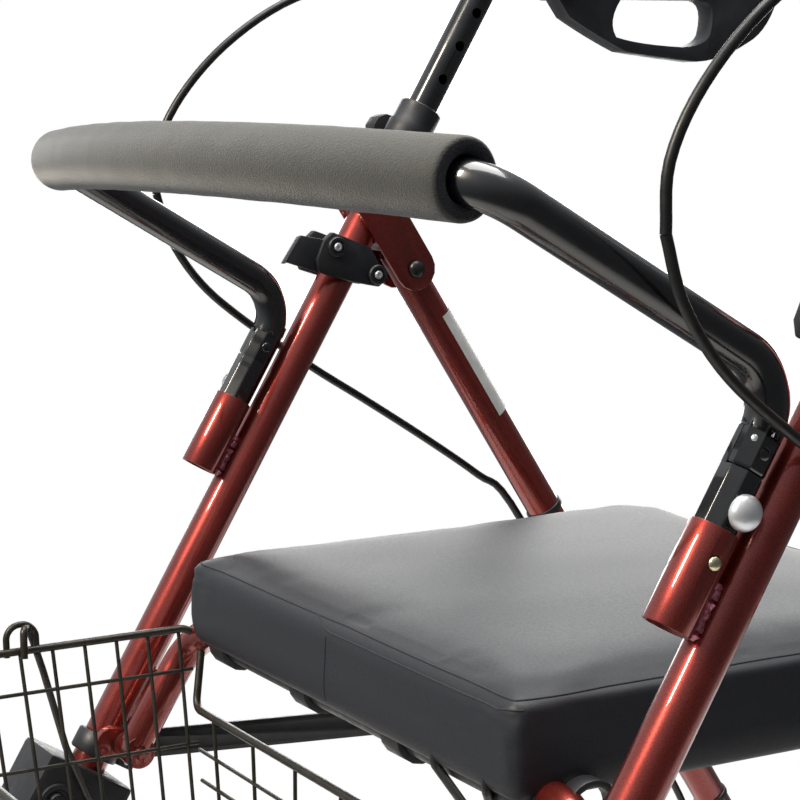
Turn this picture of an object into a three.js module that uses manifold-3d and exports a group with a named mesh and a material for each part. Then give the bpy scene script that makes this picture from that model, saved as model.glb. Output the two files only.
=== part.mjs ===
// Folding four-wheel rollator walker with a seat, a back support and a wire basket.
// Millimetres. +Z is up, -Y is the travel direction, and +X is the left-hand side of a user who stands behind it.
// The origin is on the floor under the middle of the walker's bounding box.

import * as THREE from 'three';
import { mergeVertices } from 'three/addons/utils/BufferGeometryUtils.js';
import Module from 'manifold-3d';

const wasm = await Module();
wasm.setup();

// ---------------------------------------------------------------- driving dimensions

const TAU = Math.PI * 2;
const GAP = 0.3;                    // air between touching pieces

const SEAM_Z = 455;                 // height of the cushion's top seam, the datum of both legs
const LEG_X = 243;                  // half the distance between the left and right legs
const LEG_R = 11.1;                 // 7/8 inch tube
const TUBE_R = 9.525;               // 3/4 inch tube, which slides inside the leg
const WALL = 1.2;

const FRONT_LEAN = THREE.MathUtils.degToRad(31.8);
const FRONT_Y = -160.9;             // front leg axis at SEAM_Z
const FRONT_TOP = 282;              // leg ends, measured along the axis from SEAM_Z
const FRONT_BOTTOM = -190;

const REAR_LEAN = THREE.MathUtils.degToRad(31.3);
const REAR_Y = 74.2;                // rear leg axis at SEAM_Z
const REAR_BOTTOM = 405;
const FOLD_PIVOT = -179.6;          // along the rear leg from SEAM_Z, positive downwards
const REAR_TOP = FOLD_PIVOT - 14;

const WHEEL_R = 95;
const WHEEL_W = 28;
const RIM_R = 70;
const AXLE_R = 6;
const RUNNING = 0.3;                // radial clearance round an axle or a pin
const REAR_WHEEL_X = 279;
const REAR_AXLE = (SEAM_Z - WHEEL_R) / Math.cos(REAR_LEAN);

const SWIVEL_Y = -290;              // caster swivel axis
const CASTER_TRAIL = 32;
const HOUSING_BOTTOM = 222;
const CROWN_TOP = 219;
const CROWN_BOTTOM = 197;

const SOCKET_OFFSET = 23.8;         // back support socket axis in front of the leg axis
const SOCKET_LOW = 35.3;
const SOCKET_HIGH = 81.6;
const SNAP_AT = 67;                 // snap button along the front leg
const SNAP_R = 3.2;
const LOCK_AT = 91;                 // lock pin along the front leg
const LOCK_OFFSET = 22.5;
const TONGUE_R = 8.6;               // rounded end of the two tongues at the back support's hinge
const RIVET_R = 3;
const BACK_HINGE = 117;             // back support hinge along the front leg
const BAR_BEND = 150.7;             // where the bar leaves the leg's direction
const BAR_CORNER = new THREE.Vector3(240, -243, 682.5);
const BAR_BULGE = 26;               // how far the middle of the bar stands in front of its corners
const BAR_RISE = 0.25;              // how much of that bulge the middle also rises
const FOAM_R = 17;
const FOAM_END_X = 224;

const SEAT_W = 362;
const SEAT_FRONT = -200;
const SEAT_D = 313;
const SEAT_BOTTOM = 414;
const SEAT_TOP = 462;
const SEAT_CORNER_R = 14;
const BOARD_T = 4;
const BOARD_INSET = 12;

const RAIL_X = 213;                 // seat support tube: up beside each leg and across under the seat's front
const RAIL_CORNER_Y = -178.5;
const RAIL_Z = 409;
const RAIL_BEND_R = 30;
const SADDLE_XS = [-158, -52, 52, 158];   // middles of the pan's bearings on the support tube
const SADDLE_W = 18;
const REST_BAR_AT = 65.5;             // bar that the seat's rear rests on, down the rear leg from SEAM_Z
const RAIL_PIVOT = new THREE.Vector3(0, -222, 339);
const LINK_REAR_PIVOT = new THREE.Vector3(0, 160, 314);
const LINK_H = 17;
const LINK_T = 3;
const LUG_R = 9;                    // welded lug between the front leg and the link's front pivot
const BOLT_R = 4;
const FRONT_LINK_X = 223.2;         // inner face of each link plate
const REAR_LINK_X = 226.6;

const HOLE_PITCH = 23.35;           // height adjustment holes in the handle tube
const KNOB_AT = 268.6;              // along the front leg
const HOLE_R = 3.2;
const GRIP_Z = 822;
const GRIP_FRONT_Y = 120;
const GRIP_REAR_Y = 252;
const GRIP_R = 16;
const HANDLE_BEND_R = 42;
const LEVER_PIVOT = new THREE.Vector2(93, 783);   // in Y and Z
const LEVER_PIN_R = 3;
const LEVER_HALF_W = 8;

const BASKET_HALF_W = 203;
const BASKET_FRONT_Y = -388;
const BASKET_REAR_Y = -187;
const BASKET_TOP = 413;
const BASKET_REAR_TOP = 366;
const BASKET_BOTTOM = 281;
const BASKET_WALL = 3;
const BASKET_TAPER = 38;            // how much narrower each side is at the bottom
const BASKET_END_TAPER = 9;

const CABLE_R = 2.5;
const CABLE_STEPS = 44;
// Each cable arcs forward from the handle, comes back down outside the front leg, meets the clip on the
// rear leg and follows that leg down to the brake arm.
const CABLE_ROUTE = [
  [256, 70, 786.4], [256, 52, 788], [258, 24, 791], [260, -8, 790], [261, -45, 784], [262, -89, 770],
  [262, -128, 746], [262, -157, 717], [262, -173, 688], [262, -175, 660], [262, -167, 633],
  [262, -149, 606], [262, -122, 582], [262, -76, 549], [262, -39, 525], [262, 5, 495.5],
  [260, 40, 470], [256, 62, 449.5],
];
const CABLE_ON_LEG = [[110, 254], [160, 251], [210, 251], [255, 254], [288, 266], [300.5, 278]];

const LEG_SIDES = 18;               // facets round a leg, a bent tube and a wheel
const TUBE_SIDES = 12;
const WHEEL_SIDES = 20;

const SIDES = [{ tag: 'L', sign: 1 }, { tag: 'R', sign: -1 }];

// ---------------------------------------------------------------- materials

function paint(color, roughness, metalness) {
  return new THREE.MeshStandardMaterial({ color, roughness, metalness });
}

const RED = paint(0x8e1f24, 0.32, 0.6);
const BLACK_TUBE = paint(0x14151a, 0.25, 0.5);
const BLACK_STEEL = paint(0x1b1c1e, 0.5, 0.6);
const PLASTIC = paint(0x232529, 0.55, 0.0);
const FOAM = paint(0x55564f, 0.9, 0.0);
const VINYL = paint(0x24262a, 0.45, 0.0);
const TYRE = paint(0x3a3b3d, 0.8, 0.0);
const ZINC = paint(0xb8bcc0, 0.3, 0.9);
const BRASS = paint(0xc8b478, 0.3, 0.9);
const CABLE = paint(0x101010, 0.5, 0.0);

// ---------------------------------------------------------------- solids

function toSolid(geometry) {
  const bare = geometry.clone();
  bare.deleteAttribute('normal');
  bare.deleteAttribute('uv');
  const merged = mergeVertices(bare, 1e-4);
  return new wasm.Manifold(new wasm.Mesh({
    numProp: 3,
    vertProperties: new Float32Array(merged.attributes.position.array),
    triVerts: new Uint32Array(merged.index.array),
  }));
}

function toGeometry(solid) {
  const mesh = solid.getMesh();
  const geometry = new THREE.BufferGeometry();
  geometry.setAttribute('position', new THREE.BufferAttribute(mesh.vertProperties, 3));
  geometry.setIndex(new THREE.BufferAttribute(mesh.triVerts, 1));
  geometry.computeVertexNormals();
  return geometry;
}

function join(...geometries) {
  return toGeometry(geometries.map(toSolid).reduce((a, b) => a.add(b)));
}

function cut(body, ...tools) {
  return toGeometry(tools.map(toSolid).reduce((a, b) => a.subtract(b), toSolid(body)));
}

// A round rod from point a to point b.
function rod(a, b, radius, sides = 14) {
  const length = a.distanceTo(b);
  const geometry = new THREE.CylinderGeometry(radius, radius, length, sides);
  const turn = new THREE.Quaternion().setFromUnitVectors(
    new THREE.Vector3(0, 1, 0), b.clone().sub(a).normalize());
  geometry.applyQuaternion(turn);
  const middle = a.clone().add(b).multiplyScalar(0.5);
  return geometry.translate(middle.x, middle.y, middle.z);
}

function ring(outer, inner, sides) {
  const shape = new THREE.Shape().absarc(0, 0, outer, 0, TAU, false);
  if (inner > 0) {
    shape.holes.push(new THREE.Path().absarc(0, 0, inner, 0, TAU, true));
  }
  return { shape, curveSegments: Math.round(sides / 2) };
}

// A tube, or a rod where inner is 0, along any curve.
function tubeAlong(curve, outer, inner, sides, steps) {
  const { shape, curveSegments } = ring(outer, inner, sides);
  return new THREE.ExtrudeGeometry(shape, { extrudePath: curve, steps, curveSegments, bevelEnabled: false });
}

function pipe(a, b, outer, inner, sides = 16) {
  return tubeAlong(new THREE.LineCurve3(a, b), outer, inner, sides, 1);
}

const MAX_TURN = THREE.MathUtils.degToRad(18);   // between two sections of a bend

// A bent tube's centre line: straight stretches joined by arcs of the given radii. Sections stand only at
// the ends and round the bends, so it overrides the even spacing of a curve.
class BentRun extends THREE.Curve {
  constructor(points, radii) {
    super();
    const first = points[1].clone().sub(points[0]).normalize();
    this.stations = [{ at: points[0], heading: first }];
    for (let i = 1; i < points.length - 1; i += 1) {
      this.addBend(points[i - 1], points[i], points[i + 1], radii[i - 1]);
    }
    const end = points[points.length - 1];
    this.stations.push({ at: end, heading: end.clone().sub(points[points.length - 2]).normalize() });
  }

  addBend(before, corner, after, radius) {
    const heading = corner.clone().sub(before).normalize();
    const leaving = after.clone().sub(corner).normalize();
    const turn = heading.angleTo(leaving);
    const enter = corner.clone().addScaledVector(heading, -radius * Math.tan(turn / 2));
    const axis = heading.clone().cross(leaving).normalize();
    const inward = axis.clone().cross(heading);
    const centre = enter.clone().addScaledVector(inward, radius);
    const count = Math.max(2, Math.ceil(turn / MAX_TURN));
    for (let k = 0; k <= count; k += 1) {
      const angle = turn * k / count;
      const at = enter.clone().sub(centre).applyAxisAngle(axis, angle).add(centre);
      this.stations.push({ at, heading: heading.clone().applyAxisAngle(axis, angle) });
    }
  }

  get steps() {
    return this.stations.length - 1;
  }

  station(u) {
    return this.stations[Math.round(u * this.steps)];
  }

  getPointAt(u) {
    return this.station(u).at.clone();
  }

  getTangentAt(u) {
    return this.station(u).heading.clone();
  }
}

function bentTube(points, radii, outer, inner, sides) {
  const run = new BentRun(points, radii);
  return tubeAlong(run, outer, inner, sides, run.steps);
}

// A plate whose outline is drawn in Y and Z, between two X planes.
function plate(shape, x0, x1, curveSegments = 4) {
  const low = Math.min(x0, x1);
  const depth = Math.abs(x1 - x0);
  const geometry = new THREE.ExtrudeGeometry(shape, { depth, curveSegments, bevelEnabled: false });
  const axes = new THREE.Matrix4().makeBasis(
    new THREE.Vector3(0, 1, 0), new THREE.Vector3(0, 0, 1), new THREE.Vector3(1, 0, 0));
  return geometry.applyMatrix4(axes).translate(low, 0, 0);
}

function polygon(points) {
  return new THREE.Shape(points.map((p) => new THREE.Vector2(p.y, p.z)));
}

// A flat bar with round ends, between two points of the YZ plane.
function roundEndedBar(a, b, radius) {
  const along = new THREE.Vector2(b.y - a.y, b.z - a.z);
  const angle = Math.atan2(along.y, along.x);
  const shape = new THREE.Shape();
  shape.absarc(a.y, a.z, radius, angle + Math.PI / 2, angle + Math.PI * 1.5, false);
  shape.absarc(b.y, b.z, radius, angle - Math.PI / 2, angle + Math.PI / 2, false);
  shape.closePath();
  return shape;
}

function box(x0, x1, y0, y1, z0, z1) {
  const geometry = new THREE.BoxGeometry(Math.abs(x1 - x0), y1 - y0, z1 - z0);
  return geometry.translate((x0 + x1) / 2, (y0 + y1) / 2, (z0 + z1) / 2);
}

// A rod along X.
function pin(x0, x1, y, z, radius, sides = 12) {
  return rod(new THREE.Vector3(x0, y, z), new THREE.Vector3(x1, y, z), radius, sides);
}

// A solid of revolution about the X axis through (y, z); the profile gives [radius, x] pairs.
function turned(profile, x, y, z, segments, sign) {
  const points = profile.map(([radius, along]) => new THREE.Vector2(radius, along));
  const geometry = new THREE.LatheGeometry(points, segments);
  geometry.rotateZ(-Math.PI / 2);
  if (sign < 0) {
    geometry.rotateY(Math.PI);
  }
  return geometry.translate(x, y, z);
}

// ---------------------------------------------------------------- places on the legs

// s runs up the front leg from SEAM_Z, and p runs square to it, forwards and up.
function onFrontLeg(s, p = 0, x = 0) {
  return new THREE.Vector3(
    x,
    FRONT_Y + s * Math.sin(FRONT_LEAN) - p * Math.cos(FRONT_LEAN),
    SEAM_Z + s * Math.cos(FRONT_LEAN) + p * Math.sin(FRONT_LEAN));
}

// s runs down the rear leg from SEAM_Z, and p runs square to it, forwards and down.
function onRearLeg(s, p = 0, x = 0) {
  return new THREE.Vector3(
    x,
    REAR_Y + s * Math.sin(REAR_LEAN) - p * Math.cos(REAR_LEAN),
    SEAM_Z - s * Math.cos(REAR_LEAN) - p * Math.sin(REAR_LEAN));
}

// ---------------------------------------------------------------- front frame

function frontLeg(sign) {
  const x = sign * LEG_X;
  const tube = pipe(onFrontLeg(FRONT_BOTTOM, 0, x), onFrontLeg(FRONT_TOP, 0, x), LEG_R, LEG_R - WALL, LEG_SIDES);
  const root = onFrontLeg(-134, 0);
  const lug = plate(roundEndedBar(root, RAIL_PIVOT, LUG_R), sign * REAR_LINK_X, sign * (LEG_X - LEG_R + 1));
  const stud = pin(sign * (RAIL_X - TUBE_R - 1.5), sign * (REAR_LINK_X + 1), RAIL_PIVOT.y, RAIL_PIVOT.z, BOLT_R);
  return join(tube, lug, stud);
}

// A channel that is welded to the back of the front leg and holds the rear leg between its two plates.
function pivotBracket(sign) {
  const x = sign * LEG_X;
  const pivot = onRearLeg(FOLD_PIVOT);
  const top = onRearLeg(FOLD_PIVOT - 52);
  const inside = LEG_R + 0.6;
  const thick = 2.6;
  const side = roundEndedBar(pivot, top, 13.5);
  const plates = [-1, 1].map((face) => {
    const near = x + face * inside;
    return plate(side, near, near + face * thick);
  });
  const saddleEnds = [
    onRearLeg(FOLD_PIVOT - 21, -12),
    onRearLeg(FOLD_PIVOT - 21, 12),
    onRearLeg(FOLD_PIVOT - 56, 12),
    onRearLeg(FOLD_PIVOT - 56, -12),
  ];
  const saddle = plate(polygon(saddleEnds), x - inside - 1, x + inside + 1);
  const legSpace = rod(onFrontLeg(100, 0, x), onFrontLeg(FRONT_TOP + 20, 0, x), LEG_R + GAP, LEG_SIDES);
  const hole = pin(x - 20, x + 20, pivot.y, pivot.z, BOLT_R + RUNNING);
  const body = join(plates[0], saddle, plates[1]);
  return largestPiece(cut(body, legSpace, hole));
}

// Keeps the biggest of the separate bodies that a cut leaves.
function largestPiece(geometry) {
  const pieces = toSolid(geometry).decompose();
  pieces.sort((a, b) => b.volume() - a.volume());
  return toGeometry(pieces[0]);
}

function pivotBolt(sign) {
  const { y, z } = onRearLeg(FOLD_PIVOT);
  const x = sign * LEG_X;
  const shank = pin(x - 15.2, x + 15.2, y, z, 4, 12);
  const domedHead = (face) => {
    const profile = [[0, 0], [5.4, 0], [5.1, 1.4], [3.6, 2.8], [0, 3.4]];
    return turned(profile, x + face * 14.7, y, z, 16, face);
  };
  return join(shank, domedHead(1), domedHead(-1));
}

function backrestSocket(sign) {
  const x = sign * LEG_X;
  const low = onFrontLeg(SOCKET_LOW, SOCKET_OFFSET, x);
  const high = onFrontLeg(SOCKET_HIGH, SOCKET_OFFSET, x);
  const tube = pipe(low, high, LEG_R, LEG_R - WALL, LEG_SIDES);
  const button = onFrontLeg(SNAP_AT, SOCKET_OFFSET);
  return cut(tube, pin(x, sign * (LEG_X + 20), button.y, button.z, SNAP_R + GAP));
}

function snapButton(sign) {
  const { y, z } = onFrontLeg(SNAP_AT, SOCKET_OFFSET);
  const profile = [[0, 0], [SNAP_R, 0], [SNAP_R, 2.4], [2.2, 3.6], [0, 4.1]];
  return turned(profile, sign * (LEG_X + TUBE_R + GAP), y, z, 12, sign);
}

// The lower part of the back support: a round spigot in the socket with a flattened tongue above it.
function backrestStub(sign) {
  const x = sign * LEG_X;
  const spigot = pipe(
    onFrontLeg(42, SOCKET_OFFSET, x), onFrontLeg(104, SOCKET_OFFSET, x), TUBE_R, TUBE_R - WALL, LEG_SIDES);
  const hinge = onFrontLeg(BACK_HINGE, SOCKET_OFFSET);
  const tongue = plate(
    roundEndedBar(onFrontLeg(92, SOCKET_OFFSET), hinge, TONGUE_R), sign * (LEG_X - 7.5), sign * (LEG_X - GAP / 2));
  const rivet = pin(sign * (LEG_X - 5), sign * (LEG_X + 9.2), hinge.y, hinge.z, RIVET_R);
  const lockAt = onFrontLeg(LOCK_AT, LOCK_OFFSET);
  const lockHole = pin(sign * (LEG_X - 20), sign * (LEG_X + 20), lockAt.y, lockAt.z, RIVET_R + 0.4);
  const snapAt = onFrontLeg(SNAP_AT, SOCKET_OFFSET);
  const snapHole = pin(x, sign * (LEG_X + 20), snapAt.y, snapAt.z, SNAP_R + GAP);
  return cut(join(spigot, tongue, rivet), lockHole, snapHole);
}

// A push pin with a domed head on the outer side of the stub.
function lockPin(sign) {
  const { y, z } = onFrontLeg(LOCK_AT, LOCK_OFFSET);
  const profile = [[0, 0], [3, 0], [3, 14.5], [7.8, 14.5], [7.8, 16.2], [6.6, 18.4], [4, 20], [0, 20.6]];
  return turned(profile, sign * (LEG_X - 3), y, z, 16, sign);
}

// A point of the back support's curved top, t from -1 at one corner to 1 at the other.
function onTopCurve(t) {
  const rise = BAR_BULGE * (1 - t * t);
  return new THREE.Vector3(t * BAR_CORNER.x, BAR_CORNER.y - rise, BAR_CORNER.z + rise * BAR_RISE);
}

// The one bent tube of the back support, from one hinge over the curved top to the other.
function backrestTube(radius, sides) {
  const arm = (sign) => [
    onFrontLeg(BACK_HINGE + 11, SOCKET_OFFSET, sign * LEG_X),
    onFrontLeg(BAR_BEND, SOCKET_OFFSET, sign * LEG_X),
  ];
  const top = [1, 0.5, 0, -0.5, -1].map(onTopCurve);
  const points = [...arm(1), ...top, ...arm(-1).reverse()];
  return bentTube(points, [26, 24, 420, 420, 420, 24, 26], radius, 0, sides);
}

function backrestBar() {
  const tube = backrestTube(TUBE_R, TUBE_SIDES);
  const tongues = SIDES.map(({ sign }) => {
    const hinge = onFrontLeg(BACK_HINGE, SOCKET_OFFSET);
    const shape = roundEndedBar(hinge, onFrontLeg(BACK_HINGE + 14, SOCKET_OFFSET), TONGUE_R);
    const tongue = plate(shape, sign * (LEG_X + GAP / 2), sign * (LEG_X + 7.5));
    return cut(tongue, pin(sign * LEG_X, sign * (LEG_X + 20), hinge.y, hinge.z, RIVET_R + RUNNING));
  });
  return join(tube, ...tongues);
}

function backrestFoam() {
  const ends = FOAM_END_X / BAR_CORNER.x;
  const points = [-ends, -0.5, 0, 0.5, ends].map(onTopCurve);
  const sleeve = bentTube(points, [420, 420, 420], FOAM_R, 0, 16);
  return cut(sleeve, backrestTube(TUBE_R + 0.5, TUBE_SIDES));
}

function heightKnob(sign) {
  const { y, z } = onFrontLeg(KNOB_AT);
  const x0 = LEG_X + LEG_R + GAP;
  const shank = pin(sign * x0, sign * (x0 + 10), y, z, 4, 12);
  const lobes = [0, 1, 2].map((k) => {
    const angle = Math.PI / 2 + k * TAU / 3;
    const ly = y + 10 * Math.cos(angle);
    const lz = z + 10 * Math.sin(angle);
    return pin(sign * (x0 + 8), sign * (x0 + 20), ly, lz, 9.5, 10);
  });
  const boss = pin(sign * (x0 + 4), sign * (x0 + 21.5), y, z, 9, 12);
  return join(shank, boss, ...lobes);
}

// The block at the foot of each front leg: it clamps the leg and holds the caster's upright stem.
function casterHousing(sign) {
  const x = sign * LEG_X;
  const half = 23;
  const outline = polygon([
    onFrontLeg(-153, 34),
    onFrontLeg(-153, -24),
    onFrontLeg(-205, -24),
    new THREE.Vector3(0, SWIVEL_Y + 24, HOUSING_BOTTOM),
    new THREE.Vector3(0, SWIVEL_Y - 24, HOUSING_BOTTOM),
    onFrontLeg(-205, 34),
  ]);
  const block = plate(outline, x - half, x + half);
  const legBore = rod(onFrontLeg(FRONT_BOTTOM - 1, 0, x), onFrontLeg(-100, 0, x), LEG_R + GAP, LEG_SIDES);
  const stemBore = rod(
    new THREE.Vector3(x, SWIVEL_Y, HOUSING_BOTTOM - 5),
    new THREE.Vector3(x, SWIVEL_Y, HOUSING_BOTTOM + 44), AXLE_R + 0.4, 16);
  return cut(block, legBore, stemBore);
}

function frontCrossbar() {
  const end = LEG_X - 23 - GAP;
  const at = (x) => new THREE.Vector3(x, -258, 252);
  return pipe(at(-end), at(end), TUBE_R, TUBE_R - WALL, 16);
}

// ---------------------------------------------------------------- casters and wheels

function casterFork(sign) {
  const x = sign * LEG_X;
  const axleY = SWIVEL_Y + CASTER_TRAIL;
  const armIn = WHEEL_W / 2 + 2;
  const armOut = armIn + 4.5;
  const arm = new THREE.Shape();
  arm.moveTo(SWIVEL_Y - 21, CROWN_TOP - 1);
  arm.lineTo(SWIVEL_Y - 21, CROWN_BOTTOM);
  arm.quadraticCurveTo(SWIVEL_Y - 12, 150, axleY - 12, WHEEL_R);
  arm.absarc(axleY, WHEEL_R, 12, Math.PI, TAU, false);
  arm.quadraticCurveTo(SWIVEL_Y + 40, 150, SWIVEL_Y + 24, CROWN_BOTTOM);
  arm.lineTo(SWIVEL_Y + 24, CROWN_TOP - 1);
  arm.closePath();
  const arms = [-1, 1].map((face) => plate(arm, x + face * armIn, x + face * armOut, 5));
  const crown = box(x - armOut, x + armOut, SWIVEL_Y - 20, SWIVEL_Y + 23, CROWN_BOTTOM, CROWN_TOP);
  const stem = rod(
    new THREE.Vector3(x, SWIVEL_Y, CROWN_TOP - 4),
    new THREE.Vector3(x, SWIVEL_Y, HOUSING_BOTTOM + 40), AXLE_R, 16);
  const axleHole = pin(x - 40, x + 40, axleY, WHEEL_R, AXLE_R + RUNNING);
  return cut(join(crown, ...arms, stem), axleHole);
}

function tyre(x, y, sign) {
  const w = WHEEL_W / 2;
  const profile = [
    [RIM_R + GAP, -w + 2], [WHEEL_R - 7, -w], [WHEEL_R, -w + 7],
    [WHEEL_R, w - 7], [WHEEL_R - 7, w], [RIM_R + GAP, w - 2], [RIM_R + GAP, -w + 2],
  ];
  return turned(profile, x, y, WHEEL_R, WHEEL_SIDES, sign);
}

// A moulded hub with five windows between its spokes.
function hub(x, y, sign) {
  const w = WHEEL_W / 2;
  const bore = AXLE_R + RUNNING;
  const profile = [
    [bore, -w], [17, -w], [19, -4], [RIM_R - 8, -4], [RIM_R - 6, -w + 4], [RIM_R, -w + 4],
    [RIM_R, w - 4], [RIM_R - 6, w - 4], [RIM_R - 8, 4], [19, 4], [17, w], [bore, w], [bore, -w],
  ];
  const wheel = turned(profile, x, y, WHEEL_R, WHEEL_SIDES, sign);
  const windows = [0, 1, 2, 3, 4].map((k) => {
    const middle = k * TAU / 5 + Math.PI / 2;
    const window = new THREE.Shape();
    window.absarc(y, WHEEL_R, 56, middle - 0.42, middle + 0.42, false);
    window.absarc(y, WHEEL_R, 27, middle + 0.22, middle - 0.22, true);
    window.closePath();
    return plate(window, x - 12, x + 12, 2);
  });
  return cut(wheel, ...windows);
}

function frontAxle(sign) {
  const y = SWIVEL_Y + CASTER_TRAIL;
  const head = WHEEL_W / 2 + 6.5 + GAP;
  const x = sign * LEG_X;
  const shank = pin(x - head - 2, x + head + 2, y, WHEEL_R, AXLE_R);
  const nuts = [-1, 1].map((face) => pin(x + face * head, x + face * (head + 5), y, WHEEL_R, 8.5, 6));
  return join(shank, ...nuts);
}

// ---------------------------------------------------------------- rear frame

function rearLeg(sign) {
  const x = sign * LEG_X;
  const tube = pipe(onRearLeg(REAR_TOP, 0, x), onRearLeg(REAR_BOTTOM, 0, x), LEG_R, LEG_R - WALL, LEG_SIDES);
  const pivot = onRearLeg(FOLD_PIVOT);
  const lugEnd = LINK_REAR_PIVOT;
  const lug = plate(
    roundEndedBar(lugEnd, onRearLeg(165), 8), sign * (REAR_LINK_X + LINK_T + 0.4), sign * (LEG_X - LEG_R + 1));
  const stud = pin(sign * (REAR_LINK_X - 2), sign * (REAR_LINK_X + 5), lugEnd.y, lugEnd.z, BOLT_R);
  return cut(join(tube, lug, stud), pin(x - 20, x + 20, pivot.y, pivot.z, BOLT_R + RUNNING));
}

// Joins the rear legs and carries the rear of the seat.
function seatRestBar() {
  const at = (x) => onRearLeg(REST_BAR_AT, 0, x);
  const end = LEG_X - LEG_R - GAP;
  return pipe(at(-end), at(end), TUBE_R, TUBE_R - WALL, 16);
}

const BRAKE_PIVOT = onRearLeg(312, 26);
const BRAKE_PIN_R = 3.5;

// The block at the foot of each rear leg: it carries the axle and the brake arm's pivot.
function rearWheelBracket(sign) {
  const x = sign * LEG_X;
  const block = plate(
    roundEndedBar(onRearLeg(378), onRearLeg(REAR_AXLE), 17), sign * 229, sign * 258, 6);
  const fingerOutline = polygon([
    onRearLeg(303, 34), onRearLeg(303, 16), onRearLeg(366, -6), onRearLeg(392, -6), onRearLeg(384, 17),
    onRearLeg(330, 36),
  ]);
  const finger = plate(fingerOutline, sign * 254.8, sign * 261.4);
  const legBore = rod(onRearLeg(200, 0, x), onRearLeg(REAR_BOTTOM + 0.5, 0, x), LEG_R + GAP, LEG_SIDES);
  const { y } = onRearLeg(REAR_AXLE);
  const axleBore = pin(sign * 220, sign * 270, y, WHEEL_R, AXLE_R + RUNNING);
  const pinHole = pin(sign * 250, sign * 270, BRAKE_PIVOT.y, BRAKE_PIVOT.z, BRAKE_PIN_R + RUNNING);
  return cut(join(block, finger), legBore, axleBore, pinHole);
}

function rearAxle(sign) {
  const { y } = onRearLeg(REAR_AXLE);
  const shank = pin(sign * 225, sign * 296, y, WHEEL_R, AXLE_R);
  const innerHead = pin(sign * 222, sign * 228.6, y, WHEEL_R, 9, 6);
  const outerNut = pin(sign * 293.4, sign * 298, y, WHEEL_R, 9, 6);
  return join(shank, innerHead, outerNut);
}

// A rocking arm whose shoe presses on the tyre.
function brakeArm(sign) {
  const outline = polygon([
    onRearLeg(303, 32), onRearLeg(302, 18), onRearLeg(308, -16), onRearLeg(322.6, -16), onRearLeg(322.6, 12),
    onRearLeg(319, 34), onRearLeg(311, 37),
  ]);
  const shoe = plate(outline, sign * 265.5, sign * 291);
  const pivotPin = pin(sign * 255, sign * 267, BRAKE_PIVOT.y, BRAKE_PIVOT.z, BRAKE_PIN_R);
  return join(shoe, pivotPin);
}

// ---------------------------------------------------------------- handles

// From inside the leg up to the bend and back along the grip.
function handleRun(sign, outer, inner) {
  const x = sign * LEG_X;
  const cornerAt = (GRIP_Z - SEAM_Z) / Math.cos(FRONT_LEAN);
  const points = [
    onFrontLeg(120, 0, x), onFrontLeg(cornerAt, 0, x), new THREE.Vector3(x, GRIP_REAR_Y - 4, GRIP_Z)];
  return bentTube(points, [HANDLE_BEND_R], outer, inner, TUBE_SIDES);
}

function handleTube(sign) {
  const x = sign * LEG_X;
  const holes = [-1, 0, 1, 2, 3, 4].map((k) => {
    const { y, z } = onFrontLeg(KNOB_AT + k * HOLE_PITCH);
    return pin(x - 20, x + 20, y, z, HOLE_R, 6);
  });
  return cut(handleRun(sign, TUBE_R, TUBE_R - WALL), ...holes);
}

function grip(sign) {
  const x = sign * LEG_X;
  const from = new THREE.Vector3(x, GRIP_FRONT_Y, GRIP_Z);
  const to = new THREE.Vector3(x, GRIP_REAR_Y, GRIP_Z);
  const sleeve = rod(from, to, GRIP_R, 18);
  const bore = rod(new THREE.Vector3(x, GRIP_FRONT_Y - 5, GRIP_Z),
    new THREE.Vector3(x, GRIP_REAR_Y - 4 + GAP, GRIP_Z), TUBE_R + GAP, TUBE_SIDES);
  return cut(sleeve, bore);
}

// The moulded clamp round the handle tube that carries the lever and the cable's end.
function brakeHousing(sign) {
  const x = sign * LEG_X;
  const pivot = LEVER_PIVOT;
  const outline = new THREE.Shape();
  outline.moveTo(88, GRIP_Z + 14);
  outline.lineTo(80, pivot.y + 14);
  outline.absarc(pivot.x, pivot.y, 12, -2.6, -0.3, false);
  outline.lineTo(112, GRIP_Z - 16);
  outline.lineTo(118, GRIP_Z + 10);
  outline.lineTo(112, GRIP_Z + 15);
  outline.closePath();
  const block = plate(outline, x - 15, x + 15, 6);
  const slot = box(x - 8.5, x + 8.5, 60, 130, 760, pivot.y + 12.4);
  const cableEnd = new THREE.Vector3(sign * CABLE_ROUTE[0][0], CABLE_ROUTE[0][1], CABLE_ROUTE[0][2]);
  const cableBoss = rod(cableEnd, new THREE.Vector3(cableEnd.x, 84, cableEnd.z), 4, 12);
  const pivotPin = pin(x - 14, x + 14, pivot.x, pivot.y, LEVER_PIN_R);
  const clamp = cut(join(block, cableBoss), handleRun(sign, TUBE_R + GAP, 0), slot);
  return join(clamp, pivotPin);
}

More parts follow.
